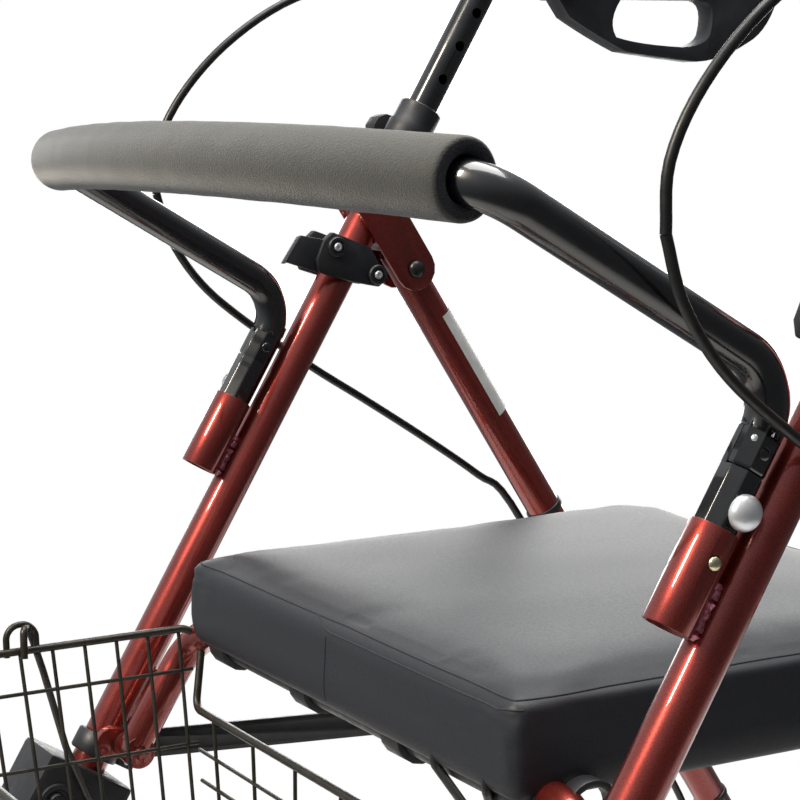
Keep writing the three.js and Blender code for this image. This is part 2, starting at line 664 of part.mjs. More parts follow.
// A loop-shaped brake lever with a wide paddle at its rear end.
function brakeLever(sign) {
  const x = sign * LEG_X;
  const outline = new THREE.Shape();
  outline.moveTo(84, 779);
  outline.absarc(LEVER_PIVOT.x, LEVER_PIVOT.y, 9.5, Math.PI * 1.1, Math.PI * 0.3, true);
  outline.lineTo(118, 778);
  outline.quadraticCurveTo(180, 772, 236, 778);
  outline.quadraticCurveTo(261, 778, 258, 765);
  outline.quadraticCurveTo(250, 748, 236, 742);
  outline.quadraticCurveTo(215, 731, 196, 730.5);
  outline.quadraticCurveTo(165, 734, 140, 738);
  outline.quadraticCurveTo(118, 748, 98, 760);
  outline.closePath();
  const opening = new THREE.Path();
  opening.moveTo(137, 771);
  opening.quadraticCurveTo(126, 757, 133, 747);
  opening.quadraticCurveTo(150, 742, 184, 740);
  opening.quadraticCurveTo(202, 740, 206, 748);
  opening.quadraticCurveTo(212, 768, 200, 770);
  opening.closePath();
  outline.holes.push(opening);
  const body = plate(outline, x - LEVER_HALF_W, x + LEVER_HALF_W, 6);
  return cut(body, pin(x - 20, x + 20, LEVER_PIVOT.x, LEVER_PIVOT.y, LEVER_PIN_R + RUNNING));
}

// ---------------------------------------------------------------- seat and its folding frame

function roundedRectangle(w, y0, d, r) {
  const shape = new THREE.Shape();
  shape.moveTo(-w / 2 + r, y0);
  shape.absarc(w / 2 - r, y0 + r, r, -Math.PI / 2, 0, false);
  shape.absarc(w / 2 - r, y0 + d - r, r, 0, Math.PI / 2, false);
  shape.absarc(-w / 2 + r, y0 + d - r, r, Math.PI / 2, Math.PI, false);
  shape.absarc(-w / 2 + r, y0 + r, r, Math.PI, Math.PI * 1.5, false);
  shape.closePath();
  return shape;
}

// The cushion's underside has a channel across its front, where it closes over the support tube.
function seatCushion() {
  const shape = roundedRectangle(SEAT_W, SEAT_FRONT, SEAT_D, SEAT_CORNER_R);
  const pad = new THREE.ExtrudeGeometry(shape, {
    depth: SEAT_TOP - SEAT_BOTTOM, curveSegments: 6, bevelEnabled: false });
  pad.translate(0, 0, SEAT_BOTTOM);
  const channel = box(-SEAT_W, SEAT_W, RAIL_CORNER_Y - 16, RAIL_CORNER_Y + 16, SEAT_BOTTOM - 5, RAIL_Z + 15);
  return cut(pad, channel);
}

// One bent tube: up from the link pivot beside each leg and across under the seat's front.
function seatSupportTube() {
  const points = [
    new THREE.Vector3(RAIL_X, RAIL_PIVOT.y, RAIL_PIVOT.z),
    new THREE.Vector3(RAIL_X, RAIL_CORNER_Y, RAIL_Z),
    new THREE.Vector3(-RAIL_X, RAIL_CORNER_Y, RAIL_Z),
    new THREE.Vector3(-RAIL_X, RAIL_PIVOT.y, RAIL_PIVOT.z),
  ];
  const tube = bentTube(points, [RAIL_BEND_R, RAIL_BEND_R], TUBE_R, 0, TUBE_SIDES);
  const eyes = SIDES.map(({ sign }) => pin(
    sign * (RAIL_X - TUBE_R), sign * (RAIL_X + TUBE_R), RAIL_PIVOT.y, RAIL_PIVOT.z, TUBE_R, 16));
  const holes = SIDES.map(({ sign }) => pin(
    sign * (RAIL_X - 20), sign * (RAIL_X + 20), RAIL_PIVOT.y, RAIL_PIVOT.z, BOLT_R + RUNNING));
  return cut(join(tube, ...eyes), ...holes);
}

// The pan under the cushion, with bearings that turn on the support tube.
function seatPan() {
  const front = RAIL_CORNER_Y + 14;
  const rear = SEAT_FRONT + SEAT_D - BOARD_INSET;
  const top = SEAT_BOTTOM - GAP;
  const shape = roundedRectangle(SEAT_W - 2 * BOARD_INSET, front, rear - front, 12);
  const board = new THREE.ExtrudeGeometry(shape, { depth: BOARD_T, curveSegments: 3, bevelEnabled: false });
  board.translate(0, 0, top - BOARD_T);
  const bearings = [];
  for (const middle of SADDLE_XS) {
    const from = middle - SADDLE_W / 2;
    const to = middle + SADDLE_W / 2;
    bearings.push(pin(from, to, RAIL_CORNER_Y, RAIL_Z, TUBE_R + 4.5, 16));
    bearings.push(box(from, to, RAIL_CORNER_Y + 8, front + 8, top - 7, top));
  }
  const bore = pin(-SEAT_W / 2, SEAT_W / 2, RAIL_CORNER_Y, RAIL_Z, TUBE_R + 0.5, 16);
  return cut(join(board, ...bearings), bore);
}

const LINK_MIDDLE = RAIL_PIVOT.clone().add(LINK_REAR_PIVOT).multiplyScalar(0.5);

function sideLink(sign, from, to, innerX) {
  const bar = plate(roundEndedBar(from, to, LINK_H / 2), sign * innerX, sign * (innerX + LINK_T));
  const holes = [from, to].map((p) => pin(sign * 200, sign * 250, p.y, p.z, BOLT_R + RUNNING, 12));
  return cut(bar, ...holes);
}

// ---------------------------------------------------------------- basket

function taperedBox(halfWidth, front, rear, top, bottom, taper, endTaper) {
  const geometry = new THREE.BoxGeometry(2 * halfWidth, rear - front, top - bottom);
  geometry.translate(0, (front + rear) / 2, (top + bottom) / 2);
  const position = geometry.attributes.position;
  for (let i = 0; i < position.count; i += 1) {
    if (position.getZ(i) < (top + bottom) / 2) {
      position.setX(i, position.getX(i) - Math.sign(position.getX(i)) * taper);
      const inward = position.getY(i) > (front + rear) / 2 ? -endTaper : endTaper;
      position.setY(i, position.getY(i) + inward);
    }
  }
  return geometry;
}

// A tapered basket, open at the top, with its rear side cut lower under the front of the seat.
function basket() {
  const outer = taperedBox(BASKET_HALF_W, BASKET_FRONT_Y, BASKET_REAR_Y, BASKET_TOP, BASKET_BOTTOM,
    BASKET_TAPER, BASKET_END_TAPER);
  const inner = taperedBox(BASKET_HALF_W - BASKET_WALL, BASKET_FRONT_Y + BASKET_WALL, BASKET_REAR_Y - BASKET_WALL,
    BASKET_TOP, BASKET_BOTTOM, BASKET_TAPER, BASKET_END_TAPER);
  inner.translate(0, 0, BASKET_WALL);
  const rearDip = box(-BASKET_HALF_W - 5, BASKET_HALF_W + 5, BASKET_REAR_Y - 14, BASKET_REAR_Y + 5,
    BASKET_REAR_TOP, BASKET_TOP + 5);
  return cut(outer, inner, rearDip);
}

// ---------------------------------------------------------------- brake cables

function brakeCable(sign) {
  const points = CABLE_ROUTE.map(([x, y, z]) => new THREE.Vector3(sign * x, y, z));
  for (const [s, x] of CABLE_ON_LEG) {
    points.push(onRearLeg(s, 15.5, sign * x));
  }
  points[0].y -= GAP;
  return tubeAlong(new THREE.CatmullRomCurve3(points), CABLE_R, 0, 8, CABLE_STEPS);
}

// ---------------------------------------------------------------- assembly

const rollator = new THREE.Group();
rollator.name = 'rollator_walker';

function add(name, geometry, material) {
  const mesh = new THREE.Mesh(geometry, material);
  mesh.name = name;
  rollator.add(mesh);
}

for (const { tag, sign } of SIDES) {
  const frontWheelY = SWIVEL_Y + CASTER_TRAIL;
  const rearWheelY = onRearLeg(REAR_AXLE).y;
  add(`front_leg_${tag}`, frontLeg(sign), RED);
  add(`pivot_bracket_${tag}`, pivotBracket(sign), RED);
  add(`pivot_bolt_${tag}`, pivotBolt(sign), BLACK_STEEL);
  add(`backrest_socket_${tag}`, backrestSocket(sign), RED);
  add(`snap_button_${tag}`, snapButton(sign), BRASS);
  add(`backrest_stub_${tag}`, backrestStub(sign), BLACK_TUBE);
  add(`lock_pin_${tag}`, lockPin(sign), ZINC);
  add(`height_knob_${tag}`, heightKnob(sign), PLASTIC);
  add(`caster_housing_${tag}`, casterHousing(sign), PLASTIC);
  add(`caster_fork_${tag}`, casterFork(sign), PLASTIC);
  add(`front_tyre_${tag}`, tyre(sign * LEG_X, frontWheelY, sign), TYRE);
  add(`front_hub_${tag}`, hub(sign * LEG_X, frontWheelY, sign), PLASTIC);
  add(`front_axle_${tag}`, frontAxle(sign), ZINC);
  add(`rear_leg_${tag}`, rearLeg(sign), RED);
  add(`rear_wheel_bracket_${tag}`, rearWheelBracket(sign), PLASTIC);
  add(`rear_tyre_${tag}`, tyre(sign * REAR_WHEEL_X, rearWheelY, sign), TYRE);
  add(`rear_hub_${tag}`, hub(sign * REAR_WHEEL_X, rearWheelY, sign), PLASTIC);
  add(`rear_axle_${tag}`, rearAxle(sign), ZINC);
  add(`brake_arm_${tag}`, brakeArm(sign), BLACK_STEEL);
  add(`handle_tube_${tag}`, handleTube(sign), BLACK_TUBE);
  add(`grip_${tag}`, grip(sign), PLASTIC);
  add(`brake_housing_${tag}`, brakeHousing(sign), PLASTIC);
  add(`brake_lever_${tag}`, brakeLever(sign), PLASTIC);
  add(`side_link_front_${tag}`, sideLink(sign, RAIL_PIVOT, LINK_MIDDLE, FRONT_LINK_X), BLACK_STEEL);
  add(`side_link_rear_${tag}`, sideLink(sign, LINK_MIDDLE, LINK_REAR_PIVOT, REAR_LINK_X), BLACK_STEEL);
  add(`brake_cable_${tag}`, brakeCable(sign), CABLE);
}
add('front_crossbar', frontCrossbar(), RED);
add('seat_rest_bar', seatRestBar(), RED);
add('backrest_bar', backrestBar(), BLACK_TUBE);
add('backrest_foam', backrestFoam(), FOAM);
add('seat_support_tube', seatSupportTube(), RED);
add('seat_pan', seatPan(), PLASTIC);
add('seat_cushion', seatCushion(), VINYL);
add('basket', basket(), BLACK_STEEL);

export default rollator;
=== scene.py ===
"""Looks of a folding rollator walker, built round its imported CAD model.

Metres, +Z up, -Y forwards, +X is the user's left (tag L).
"""

import math

import bmesh
import bpy
from mathutils import Matrix, Vector, noise

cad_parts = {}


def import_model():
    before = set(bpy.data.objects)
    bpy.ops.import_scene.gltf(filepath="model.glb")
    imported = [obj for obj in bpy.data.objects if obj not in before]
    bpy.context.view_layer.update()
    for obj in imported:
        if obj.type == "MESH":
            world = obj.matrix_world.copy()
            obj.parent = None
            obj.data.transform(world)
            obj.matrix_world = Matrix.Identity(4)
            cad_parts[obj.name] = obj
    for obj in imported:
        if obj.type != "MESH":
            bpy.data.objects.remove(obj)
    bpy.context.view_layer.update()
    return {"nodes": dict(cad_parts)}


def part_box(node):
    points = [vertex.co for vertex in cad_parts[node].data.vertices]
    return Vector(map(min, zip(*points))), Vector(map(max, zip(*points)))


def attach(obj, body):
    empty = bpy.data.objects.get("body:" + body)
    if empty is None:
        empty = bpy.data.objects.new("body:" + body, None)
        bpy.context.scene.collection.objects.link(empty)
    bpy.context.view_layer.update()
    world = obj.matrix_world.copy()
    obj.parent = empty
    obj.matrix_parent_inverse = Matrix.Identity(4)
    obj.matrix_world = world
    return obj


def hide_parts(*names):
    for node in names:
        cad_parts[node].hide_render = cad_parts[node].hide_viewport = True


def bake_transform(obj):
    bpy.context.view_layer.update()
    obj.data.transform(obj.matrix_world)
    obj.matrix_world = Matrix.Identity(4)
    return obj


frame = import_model()

MM = 0.001
FLOOR_SOLID = 0.55               # metres from the middle where the floor's paint starts to thin
FLOOR_GONE = 1.15
TAU = 2 * math.pi
SIDES = (("L", 1), ("R", -1))

# ---------------------------------------------------------------- places, in millimetres, as in part.mjs

SEAM_Z = 455
LEG_X = 243
LEG_R = 11.1
TUBE_R = 9.525
WALL = 1.2
FRONT_LEAN = math.radians(31.8)
FRONT_Y = -160.9
REAR_LEAN = math.radians(31.3)
REAR_Y = 74.2
FRONT_TOP = 282
SOCKET_OFFSET = 23.8
SNAP_AT = 67
LOCK_PIN_AT = 91
CABLE_CLIPS_AT = (8, 150, 262)   # along the rear leg
WELD_LOW, WELD_HIGH, WELD_STEPS = 36, 62, 17
BACK_HINGE = 117
BAR_BEND = 150.7
HINGE_FLAT = 9.1                 # from the bar's middle to the flats of its eight-sided end
HINGE_SPLIT = 0.25               # the half laps stop this far short of the bar's middle plane
BAR_CORNER = (240, -243, 682.5)
BAR_BULGE = 26
BAR_RISE = 0.25
FOAM_R = 17
FOAM_END_X = 224
FOAM_PAST_END = 6
SEAT_CROWN = 4.5                # how much higher the middle is than the rim, in mm
INFLATE_CAP = 3.5               # how far the cloth may swell, in mm
PANEL_JOINT_X = -2              # the upright joint in the cushion's front boxing
SEAT_W = 362
SEAT_FRONT = -200
SEAT_D = 313
SEAT_BOTTOM = 414
SEAT_CORNER_R = 9
SEAT_REAR_CORNER_R = 30
RAIL_X = 213
SLEEVE_END_X = 180
SADDLE_X = 189
SADDLE_Y = -166.5
SADDLE_Z = 406.5
SADDLE_OUTER_R = 14
SADDLE_INNER_R = 10.6
RAIL_CORNER_Y = -178.5
RAIL_Z = 409
RAIL_BEND_R = 30
LINK_FRONT = (-222, 339)
LINK_REAR = (160, 314)
KNOB_AT = 268.6
HOLE_PITCH = 23.35
HOLE_R = 3.2
GRIP_Z = 822
GRIP_FRONT_Y = 120
GRIP_REAR_Y = 252
GRIP_R = 16
HANDLE_BEND_R = 42
WHEEL_R = 95
WHEEL_W = 28
RIM_R = 70
BASKET_HALF_W = 203
BASKET_FRONT_Y = -388
BASKET_REAR_Y = -187
BASKET_TOP = 413
BASKET_REAR_TOP = 366
BASKET_BOTTOM = 281
BASKET_TAPER = 38
BASKET_END_TAPER = 9
RIM_OVERHANG = 9                 # how far the rim's rear corners reach back past the mesh
CABLE_R = 2.5
CABLE_ROUTE = (
    (256, 70, 786.4), (256, 52, 788), (258, 24, 791), (260, -8, 790), (261, -45, 784), (262, -89, 770),
    (262, -128, 746), (262, -157, 717), (262, -173, 688), (262, -175, 660), (262, -167, 633),
    (262, -149, 606), (262, -122, 582), (262, -76, 549), (262, -39, 525), (262, 5, 495.5),
    (260, 40, 470), (256, 62, 449.5),
)
CABLE_ON_LEG = ((110, 254), (160, 251), (210, 251), (255, 254), (288, 266), (300.5, 278))
CABLE_SPLIT = 9                 # the route's point where the upper length meets the lower one


def mm(x, y, z):
    return Vector((x, y, z)) * MM


def on_front_leg(s, p=0, x=0):
    """s runs up the leg from SEAM_Z, p runs square to it, forwards and up."""
    return mm(
        x,
        FRONT_Y + s * math.sin(FRONT_LEAN) - p * math.cos(FRONT_LEAN),
        SEAM_Z + s * math.cos(FRONT_LEAN) + p * math.sin(FRONT_LEAN),
    )


def on_rear_leg(s, p=0, x=0):
    """s runs down the leg from SEAM_Z, p runs square to it, forwards and down."""
    return mm(
        x,
        REAR_Y + s * math.sin(REAR_LEAN) - p * math.cos(REAR_LEAN),
        SEAM_Z - s * math.cos(REAR_LEAN) - p * math.sin(REAR_LEAN),
    )


# ---------------------------------------------------------------- materials


class Finish:
    """A Principled material with short calls for the nodes that give it its detail."""

    def __init__(self, name, roughness, metallic=0.0, **sockets):
        self.material = bpy.data.materials.new(name)
        self.material.use_nodes = True
        self.tree = self.material.node_tree
        self.shader = self.tree.nodes["Principled BSDF"]
        self.shader.inputs["Roughness"].default_value = roughness
        self.shader.inputs["Metallic"].default_value = metallic
        for socket, value in sockets.items():
            self.shader.inputs[socket.replace("_", " ")].default_value = value
        self.place = self.tree.nodes.new("ShaderNodeTexCoord").outputs["Object"]
        self.normal = None

    def node(self, kind, **values):
        made = self.tree.nodes.new(kind)
        for key, value in values.items():
            setattr(made, key, value)
        return made

    def link(self, output, to):
        self.tree.links.new(output, to)

    def noise(self, scale, detail=4.0, roughness=0.5, stretch=None):
        made = self.node("ShaderNodeTexNoise")
        made.inputs["Scale"].default_value = scale
        made.inputs["Detail"].default_value = detail
        made.inputs["Roughness"].default_value = roughness
        self.link(self.stretched(stretch), made.inputs["Vector"])
        return made.outputs["Fac"]

    def cells(self, scale, feature="F1", stretch=None):
        made = self.node("ShaderNodeTexVoronoi", feature=feature)
        made.inputs["Scale"].default_value = scale
        self.link(self.stretched(stretch), made.inputs["Vector"])
        return made.outputs["Distance"]

    def stretched(self, stretch):
        if stretch is None:
            return self.place
        mapping = self.node("ShaderNodeMapping")
        mapping.inputs["Scale"].default_value = stretch
        self.link(self.place, mapping.inputs["Vector"])
        return mapping.outputs["Vector"]

    def ramp(self, factor, low, high, start=0.3, end=0.7):
        made = self.node("ShaderNodeValToRGB")
        first, last = made.color_ramp.elements
        first.position, first.color = start, (*low, 1)
        last.position, last.color = end, (*high, 1)
        self.link(factor, made.inputs["Fac"])
        return made.outputs["Color"]

    def colour(self, factor, low, high, start=0.3, end=0.7):
        self.link(self.ramp(factor, low, high, start, end), self.shader.inputs["Base Color"])
        return self

    def rough(self, factor, low, high, start=0.3, end=0.7):
        made = self.node("ShaderNodeMapRange")
        made.inputs["From Min"].default_value = start
        made.inputs["From Max"].default_value = end
        made.inputs["To Min"].default_value = low
        made.inputs["To Max"].default_value = high
        self.link(factor, made.inputs["Value"])
        self.link(made.outputs["Result"], self.shader.inputs["Roughness"])
        return self

    def bump(self, height, strength, depth_mm):
        made = self.node("ShaderNodeBump")
        made.inputs["Strength"].default_value = strength
        made.inputs["Distance"].default_value = depth_mm * MM
        self.link(height, made.inputs["Height"])
        if self.normal is not None:
            self.link(self.normal, made.inputs["Normal"])
        self.normal = made.outputs["Normal"]
        self.link(self.normal, self.shader.inputs["Normal"])
        return self


def red_paint():
    """Metallic flake under a clear coat."""
    made = Finish("red_paint", 0.34, 0.8, Coat_Weight=1.0, Coat_Roughness=0.035)
    made.colour(made.noise(2600, 2), (0.145, 0.014, 0.016), (0.340, 0.042, 0.022), 0.35, 0.68)
    made.rough(made.noise(60, 5), 0.29, 0.38)
    made.bump(made.noise(420, 2), 0.08, 0.12)
    return made.material


def weld_paint():
    """Red over lumpy welded metal, its colour lifted brighter and pinker than the tubes' red: painted light,
    so the beads read bright though they sit in shade.
    """
    made = Finish("weld_paint", 0.30, 0.7, Coat_Weight=1.0, Coat_Roughness=0.08)
    made.colour(made.noise(700, 3), (0.28, 0.050, 0.085), (0.48, 0.130, 0.180))
    made.bump(made.noise(520, 4), 0.8, 0.9)
    return made.material


def black_gloss():
    made = Finish("black_gloss", 0.22, 0.0, Coat_Weight=1.0, Coat_Roughness=0.03)
    made.colour(made.noise(45, 5), (0.0030, 0.0032, 0.0042), (0.0060, 0.0062, 0.0078))
    made.rough(made.noise(90, 6), 0.18, 0.30)
    made.bump(made.noise(380, 2), 0.06, 0.12)
    return made.material


def black_satin():
    made = Finish("black_satin", 0.4, 0.0)
    made.colour(made.noise(70, 5), (0.006, 0.0065, 0.008), (0.013, 0.0135, 0.016))
    made.rough(made.noise(130, 5), 0.30, 0.48)
    made.bump(made.noise(900, 3), 0.12, 0.12)
    return made.material


def black_plastic():
    made = Finish("black_plastic", 0.48, 0.0)
    made.colour(made.noise(55, 4), (0.007, 0.008, 0.010), (0.015, 0.016, 0.020))
    made.rough(made.noise(160, 5), 0.38, 0.55)
    made.bump(made.cells(2400), 0.18, 0.08)
    return made.material


def grey_plastic():
    made = Finish("grey_plastic", 0.4, 0.0)
    made.colour(made.noise(60, 4), (0.014, 0.015, 0.019), (0.026, 0.028, 0.033))
    made.rough(made.noise(150, 4), 0.32, 0.46)
    made.bump(made.cells(2200), 0.14, 0.07)
    return made.material


def grip_rubber():
    made = Finish("grip_rubber", 0.62, 0.0)
    made.colour(made.noise(80, 4), (0.012, 0.012, 0.013), (0.024, 0.024, 0.026))
    made.bump(made.cells(1500), 0.3, 0.15)
    return made.material


def foam_skin():
    """Closed-cell foam: small pits, a slightly uneven grey."""
    made = Finish("foam_skin", 0.8, 0.0, Sheen_Weight=0.55, Sheen_Roughness=0.4)
    made.colour(made.noise(420, 6, 0.65), (0.030, 0.031, 0.028), (0.041, 0.042, 0.037))
    made.bump(made.cells(1150), 0.55, 0.35)
    made.bump(made.noise(240, 5), 0.12, 0.3)
    return made.material


def foam_cut():
    """The open face where the foam sleeve is cut, coloured darker than the skin: partly the cut face's own
    tone, partly painted shade for ends that face away from the light.
    """
    made = Finish("foam_cut", 0.95, 0.0)
    made.colour(made.cells(1300), (0.012, 0.013, 0.018), (0.030, 0.031, 0.038), 0.1, 0.6)
    made.bump(made.cells(1300), 0.8, 0.4)
    return made.material


def vinyl():
    """Coated upholstery cloth with a fine pebbled grain."""
    made = Finish("vinyl", 0.5, 0.0, Specular_IOR_Level=0.4)
    made.colour(made.noise(900, 3), (0.0116, 0.0136, 0.0185), (0.0178, 0.0198, 0.0252))
    made.rough(made.noise(700, 4), 0.46, 0.54)
    made.bump(made.noise(1500, 3, 0.6), 0.30, 0.16)
    made.bump(made.cells(620), 0.10, 0.12)
    return made.material


# Seam thread, darker than the vinyl so the seam reads as a dark line: partly the thread's own colour, partly
# painted shade of the seam's groove.
def thread():
    made = Finish("thread", 0.7, 0.0)
    made.colour(made.noise(900, 2), (0.006, 0.006, 0.008), (0.018, 0.018, 0.020))
    made.bump(made.noise(1600, 2), 0.5, 0.2)
    return made.material


def tyre_rubber():
    made = Finish("tyre_rubber", 0.8, 0.0)
    made.colour(made.noise(90, 6), (0.030, 0.031, 0.033), (0.060, 0.060, 0.061))
    made.bump(made.noise(800, 5), 0.35, 0.25)
    return made.material


def bright_zinc():
    made = Finish("bright_zinc", 0.36, 0.7)
    made.colour(made.noise(160, 4), (0.70, 0.73, 0.77), (0.86, 0.88, 0.91))
    made.rough(made.noise(240, 5), 0.28, 0.40)
    made.bump(made.noise(500, 2), 0.05, 0.1)
    return made.material


def brass():
    made = Finish("brass", 0.2, 1.0)
    made.colour(made.noise(260, 4), (0.66, 0.56, 0.34), (0.82, 0.74, 0.52))
    made.rough(made.noise(300, 4), 0.22, 0.36)
    return made.material


def cable_sheath():
    made = Finish("cable_sheath", 0.38, 0.0)
    made.colour(made.noise(120, 4), (0.004, 0.004, 0.0045), (0.010, 0.010, 0.010))
    made.rough(made.noise(200, 4), 0.3, 0.48)
    made.bump(made.noise(700, 3), 0.12, 0.1)
    return made.material


def wire_coat():
    """Thick dark coating on the basket's wire, slightly uneven."""
    made = Finish("wire_coat", 0.34, 0.0)
    made.colour(made.noise(110, 5), (0.010, 0.009, 0.006), (0.024, 0.021, 0.014))
    made.rough(made.noise(170, 4), 0.26, 0.45)
    made.bump(made.noise(420, 3), 0.35, 0.35)
    return made.material


def label_vinyl():
    made = Finish("label_vinyl", 0.45, 0.0)
    made.colour(made.noise(120, 5), (0.60, 0.61, 0.60), (0.72, 0.72, 0.71))
    made.bump(made.noise(200, 4), 0.15, 0.15)
    return made.material


def floor_paint():
    """Pale paint that thins out to nothing away from the object, so that no horizon shows."""
    made = Finish("floor_paint", 0.9, 0.0)
    made.colour(made.noise(3, 4), (0.62, 0.62, 0.62), (0.66, 0.66, 0.66))
    reach = made.node("ShaderNodeVectorMath", operation="LENGTH")
    made.link(made.place, reach.inputs[0])
    fade = made.node("ShaderNodeMapRange", interpolation_type="SMOOTHSTEP")
    fade.inputs["From Min"].default_value = FLOOR_SOLID
    fade.inputs["From Max"].default_value = FLOOR_GONE
    made.link(reach.outputs["Value"], fade.inputs["Value"])
    clear = made.node("ShaderNodeBsdfTransparent")
    mix = made.node("ShaderNodeMixShader")
    made.link(fade.outputs["Result"], mix.inputs["Fac"])
    made.link(made.shader.outputs["BSDF"], mix.inputs[1])
    made.link(clear.outputs["BSDF"], mix.inputs[2])
    made.link(mix.outputs["Shader"], made.tree.nodes["Material Output"].inputs["Surface"])
    return made.material


RED = red_paint()
WELD = weld_paint()
GLOSS = black_gloss()
SATIN = black_satin()
PLASTIC = black_plastic()
GREY = grey_plastic()
GRIP = grip_rubber()
FOAM = foam_skin()
FOAM_CUT_AND_SHADE = foam_cut()
VINYL = vinyl()
THREAD_AND_GROOVE_SHADE = thread()
TYRE = tyre_rubber()
ZINC = bright_zinc()
BRASS = brass()
SHEATH = cable_sheath()
WIRE = wire_coat()
LABEL = label_vinyl()

# ---------------------------------------------------------------- mesh building


def smooth_by_angle():
    """A modifier tree that shades smooth, but keeps edges sharper than 40 degrees crisp."""
    tree = bpy.data.node_groups.new("smooth_by_angle", "GeometryNodeTree")
    tree.interface.new_socket("Geometry", in_out="INPUT", socket_type="NodeSocketGeometry")
    tree.interface.new_socket("Geometry", in_out="OUTPUT", socket_type="NodeSocketGeometry")
    start = tree.nodes.new("NodeGroupInput")
    end = tree.nodes.new("NodeGroupOutput")
    faces = tree.nodes.new("GeometryNodeSetShadeSmooth")
    faces.domain = "FACE"
    edges = tree.nodes.new("GeometryNodeSetShadeSmooth")
    edges.domain = "EDGE"
    angle = tree.nodes.new("GeometryNodeInputMeshEdgeAngle")
    flatter = tree.nodes.new("FunctionNodeCompare")
    flatter.operation = "LESS_THAN"
    flatter.inputs["B"].default_value = math.radians(40)
    tree.links.new(angle.outputs["Unsigned Angle"], flatter.inputs["A"])
    tree.links.new(flatter.outputs["Result"], edges.inputs["Shade Smooth"])
    tree.links.new(start.outputs["Geometry"], faces.inputs["Geometry"])
    tree.links.new(faces.outputs["Geometry"], edges.inputs["Geometry"])
    tree.links.new(edges.outputs["Geometry"], end.inputs["Geometry"])
    return tree


SMOOTH = smooth_by_angle()


def soften(piece, bevel_mm):
    """Rounds the piece's edges a little and shades it."""
    if bevel_mm:
        bevel = piece.modifiers.new("edges", "BEVEL")
        bevel.width = bevel_mm * MM
        bevel.segments = 2
        bevel.limit_method = "ANGLE"
        bevel.angle_limit = math.radians(38)
    shade = piece.modifiers.new("shade", "NODES")
    shade.node_group = SMOOTH


def finish_piece(name, shape, material, body, bevel_mm=0):
    """Turns a bmesh into a named object that rides on body; body None leaves it free for blend."""
    mesh = bpy.data.meshes.new(name)
    bmesh.ops.recalc_face_normals(shape, faces=shape.faces)
    shape.to_mesh(mesh)
    shape.free()
    materials = material if isinstance(material, tuple) else (material,)
    for one in materials:
        mesh.materials.append(one)
    piece = bpy.data.objects.new(name, mesh)
    bpy.context.scene.collection.objects.link(piece)
    soften(piece, bevel_mm)
    if body:
        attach(piece, body)
    return piece


def sections(points):
    """Each point with its tangent and a side vector that doesn't twist along the way."""
    made = []
    side = None
    last = None
    for i, point in enumerate(points):
        before = points[max(i - 1, 0)]
        after = points[min(i + 1, len(points) - 1)]
        tangent = (after - before).normalized()
        side = tangent.orthogonal().normalized() if side is None else last.rotation_difference(tangent) @ side
        last = tangent
        made.append((point, tangent, side))
    return made


def add_tube(shape, points, radius, sides=20, caps=True, material=0):
    """Sweeps a circle along points. radius, in mm, is one number or one for each point."""
    radii = radius if isinstance(radius, (list, tuple)) else [radius] * len(points)
    rings = []
    for (point, tangent, side), r in zip(sections(points), radii):
        other = tangent.cross(side)
        rings.append([
            shape.verts.new(
                point + (side * math.cos(TAU * k / sides) + other * math.sin(TAU * k / sides)) * r * MM)
            for k in range(sides)
        ])
    for a, b in zip(rings, rings[1:]):
        for k in range(sides):
            face = shape.faces.new((a[k], a[(k + 1) % sides], b[(k + 1) % sides], b[k]))
            face.material_index = material
    if caps:
        shape.faces.new(rings[0])
        shape.faces.new(rings[-1])
    return rings


def tube_piece(name, points, radius, material, body, sides=24, bevel_mm=0):
    shape = bmesh.new()
    add_tube(shape, points, radius, sides)
    return finish_piece(name, shape, material, body, bevel_mm)


def bent_path(corners, radii, turn=math.radians(5)):
    """Straight runs joined by arcs of the given radii in mm."""
    made = [corners[0]]
    for before, corner, after, radius in zip(corners, corners[1:], corners[2:], radii):
        heading = (corner - before).normalized()
        leaving = (after - corner).normalized()
        angle = heading.angle(leaving)
        enter = corner - heading * radius * MM * math.tan(angle / 2)
        axis = heading.cross(leaving).normalized()
        centre = enter + axis.cross(heading) * radius * MM
        count = max(2, math.ceil(angle / turn))
        for k in range(count + 1):
            made.append(centre + Matrix.Rotation(angle * k / count, 3, axis) @ (enter - centre))
    made.append(corners[-1])
    return made


def smooth_path(points, steps):
    """A Catmull-Rom curve through the points, with steps stretches between each two."""
    made = []
    padded = [points[0] * 2 - points[1], *points, points[-1] * 2 - points[-2]]
    for a, b, c, d in zip(padded, padded[1:], padded[2:], padded[3:]):
        for k in range(steps):
            t = k / steps
            made.append(0.5 * (
                2 * b + (c - a) * t + (2 * a - 5 * b + 4 * c - d) * t ** 2
                + (3 * b - a - 3 * c + d) * t ** 3))
    made.append(points[-1].copy())
    return made


def add_turned(shape, profile, origin, axis, segments=32, material=0):
    """Revolves (radius, distance along axis) pairs, in mm, about an axis through origin."""
    axis = axis.normalized()
    side = axis.orthogonal().normalized()
    other = axis.cross(side)
    rings = []
    for radius, along in profile:
        middle = origin + axis * along * MM
        if radius == 0:
            rings.append([shape.verts.new(middle)])
            continue
        rings.append([
            shape.verts.new(middle + (
                side * math.cos(TAU * k / segments) + other * math.sin(TAU * k / segments)) * radius * MM)
            for k in range(segments)
        ])
    for a, b in zip(rings, rings[1:]):
        for k in range(segments):
            n = (k + 1) % segments
            corners = [a[k % len(a)], a[n % len(a)], b[n % len(b)], b[k % len(b)]]
            unique = list(dict.fromkeys(corners))
            face = shape.faces.new(unique)
            face.material_index = material


def turned_piece(name, profile, origin, axis, material, body, segments=32, bevel_mm=0):
    shape = bmesh.new()
    add_turned(shape, profile, origin, axis, segments)
    return finish_piece(name, shape, material, body, bevel_mm)


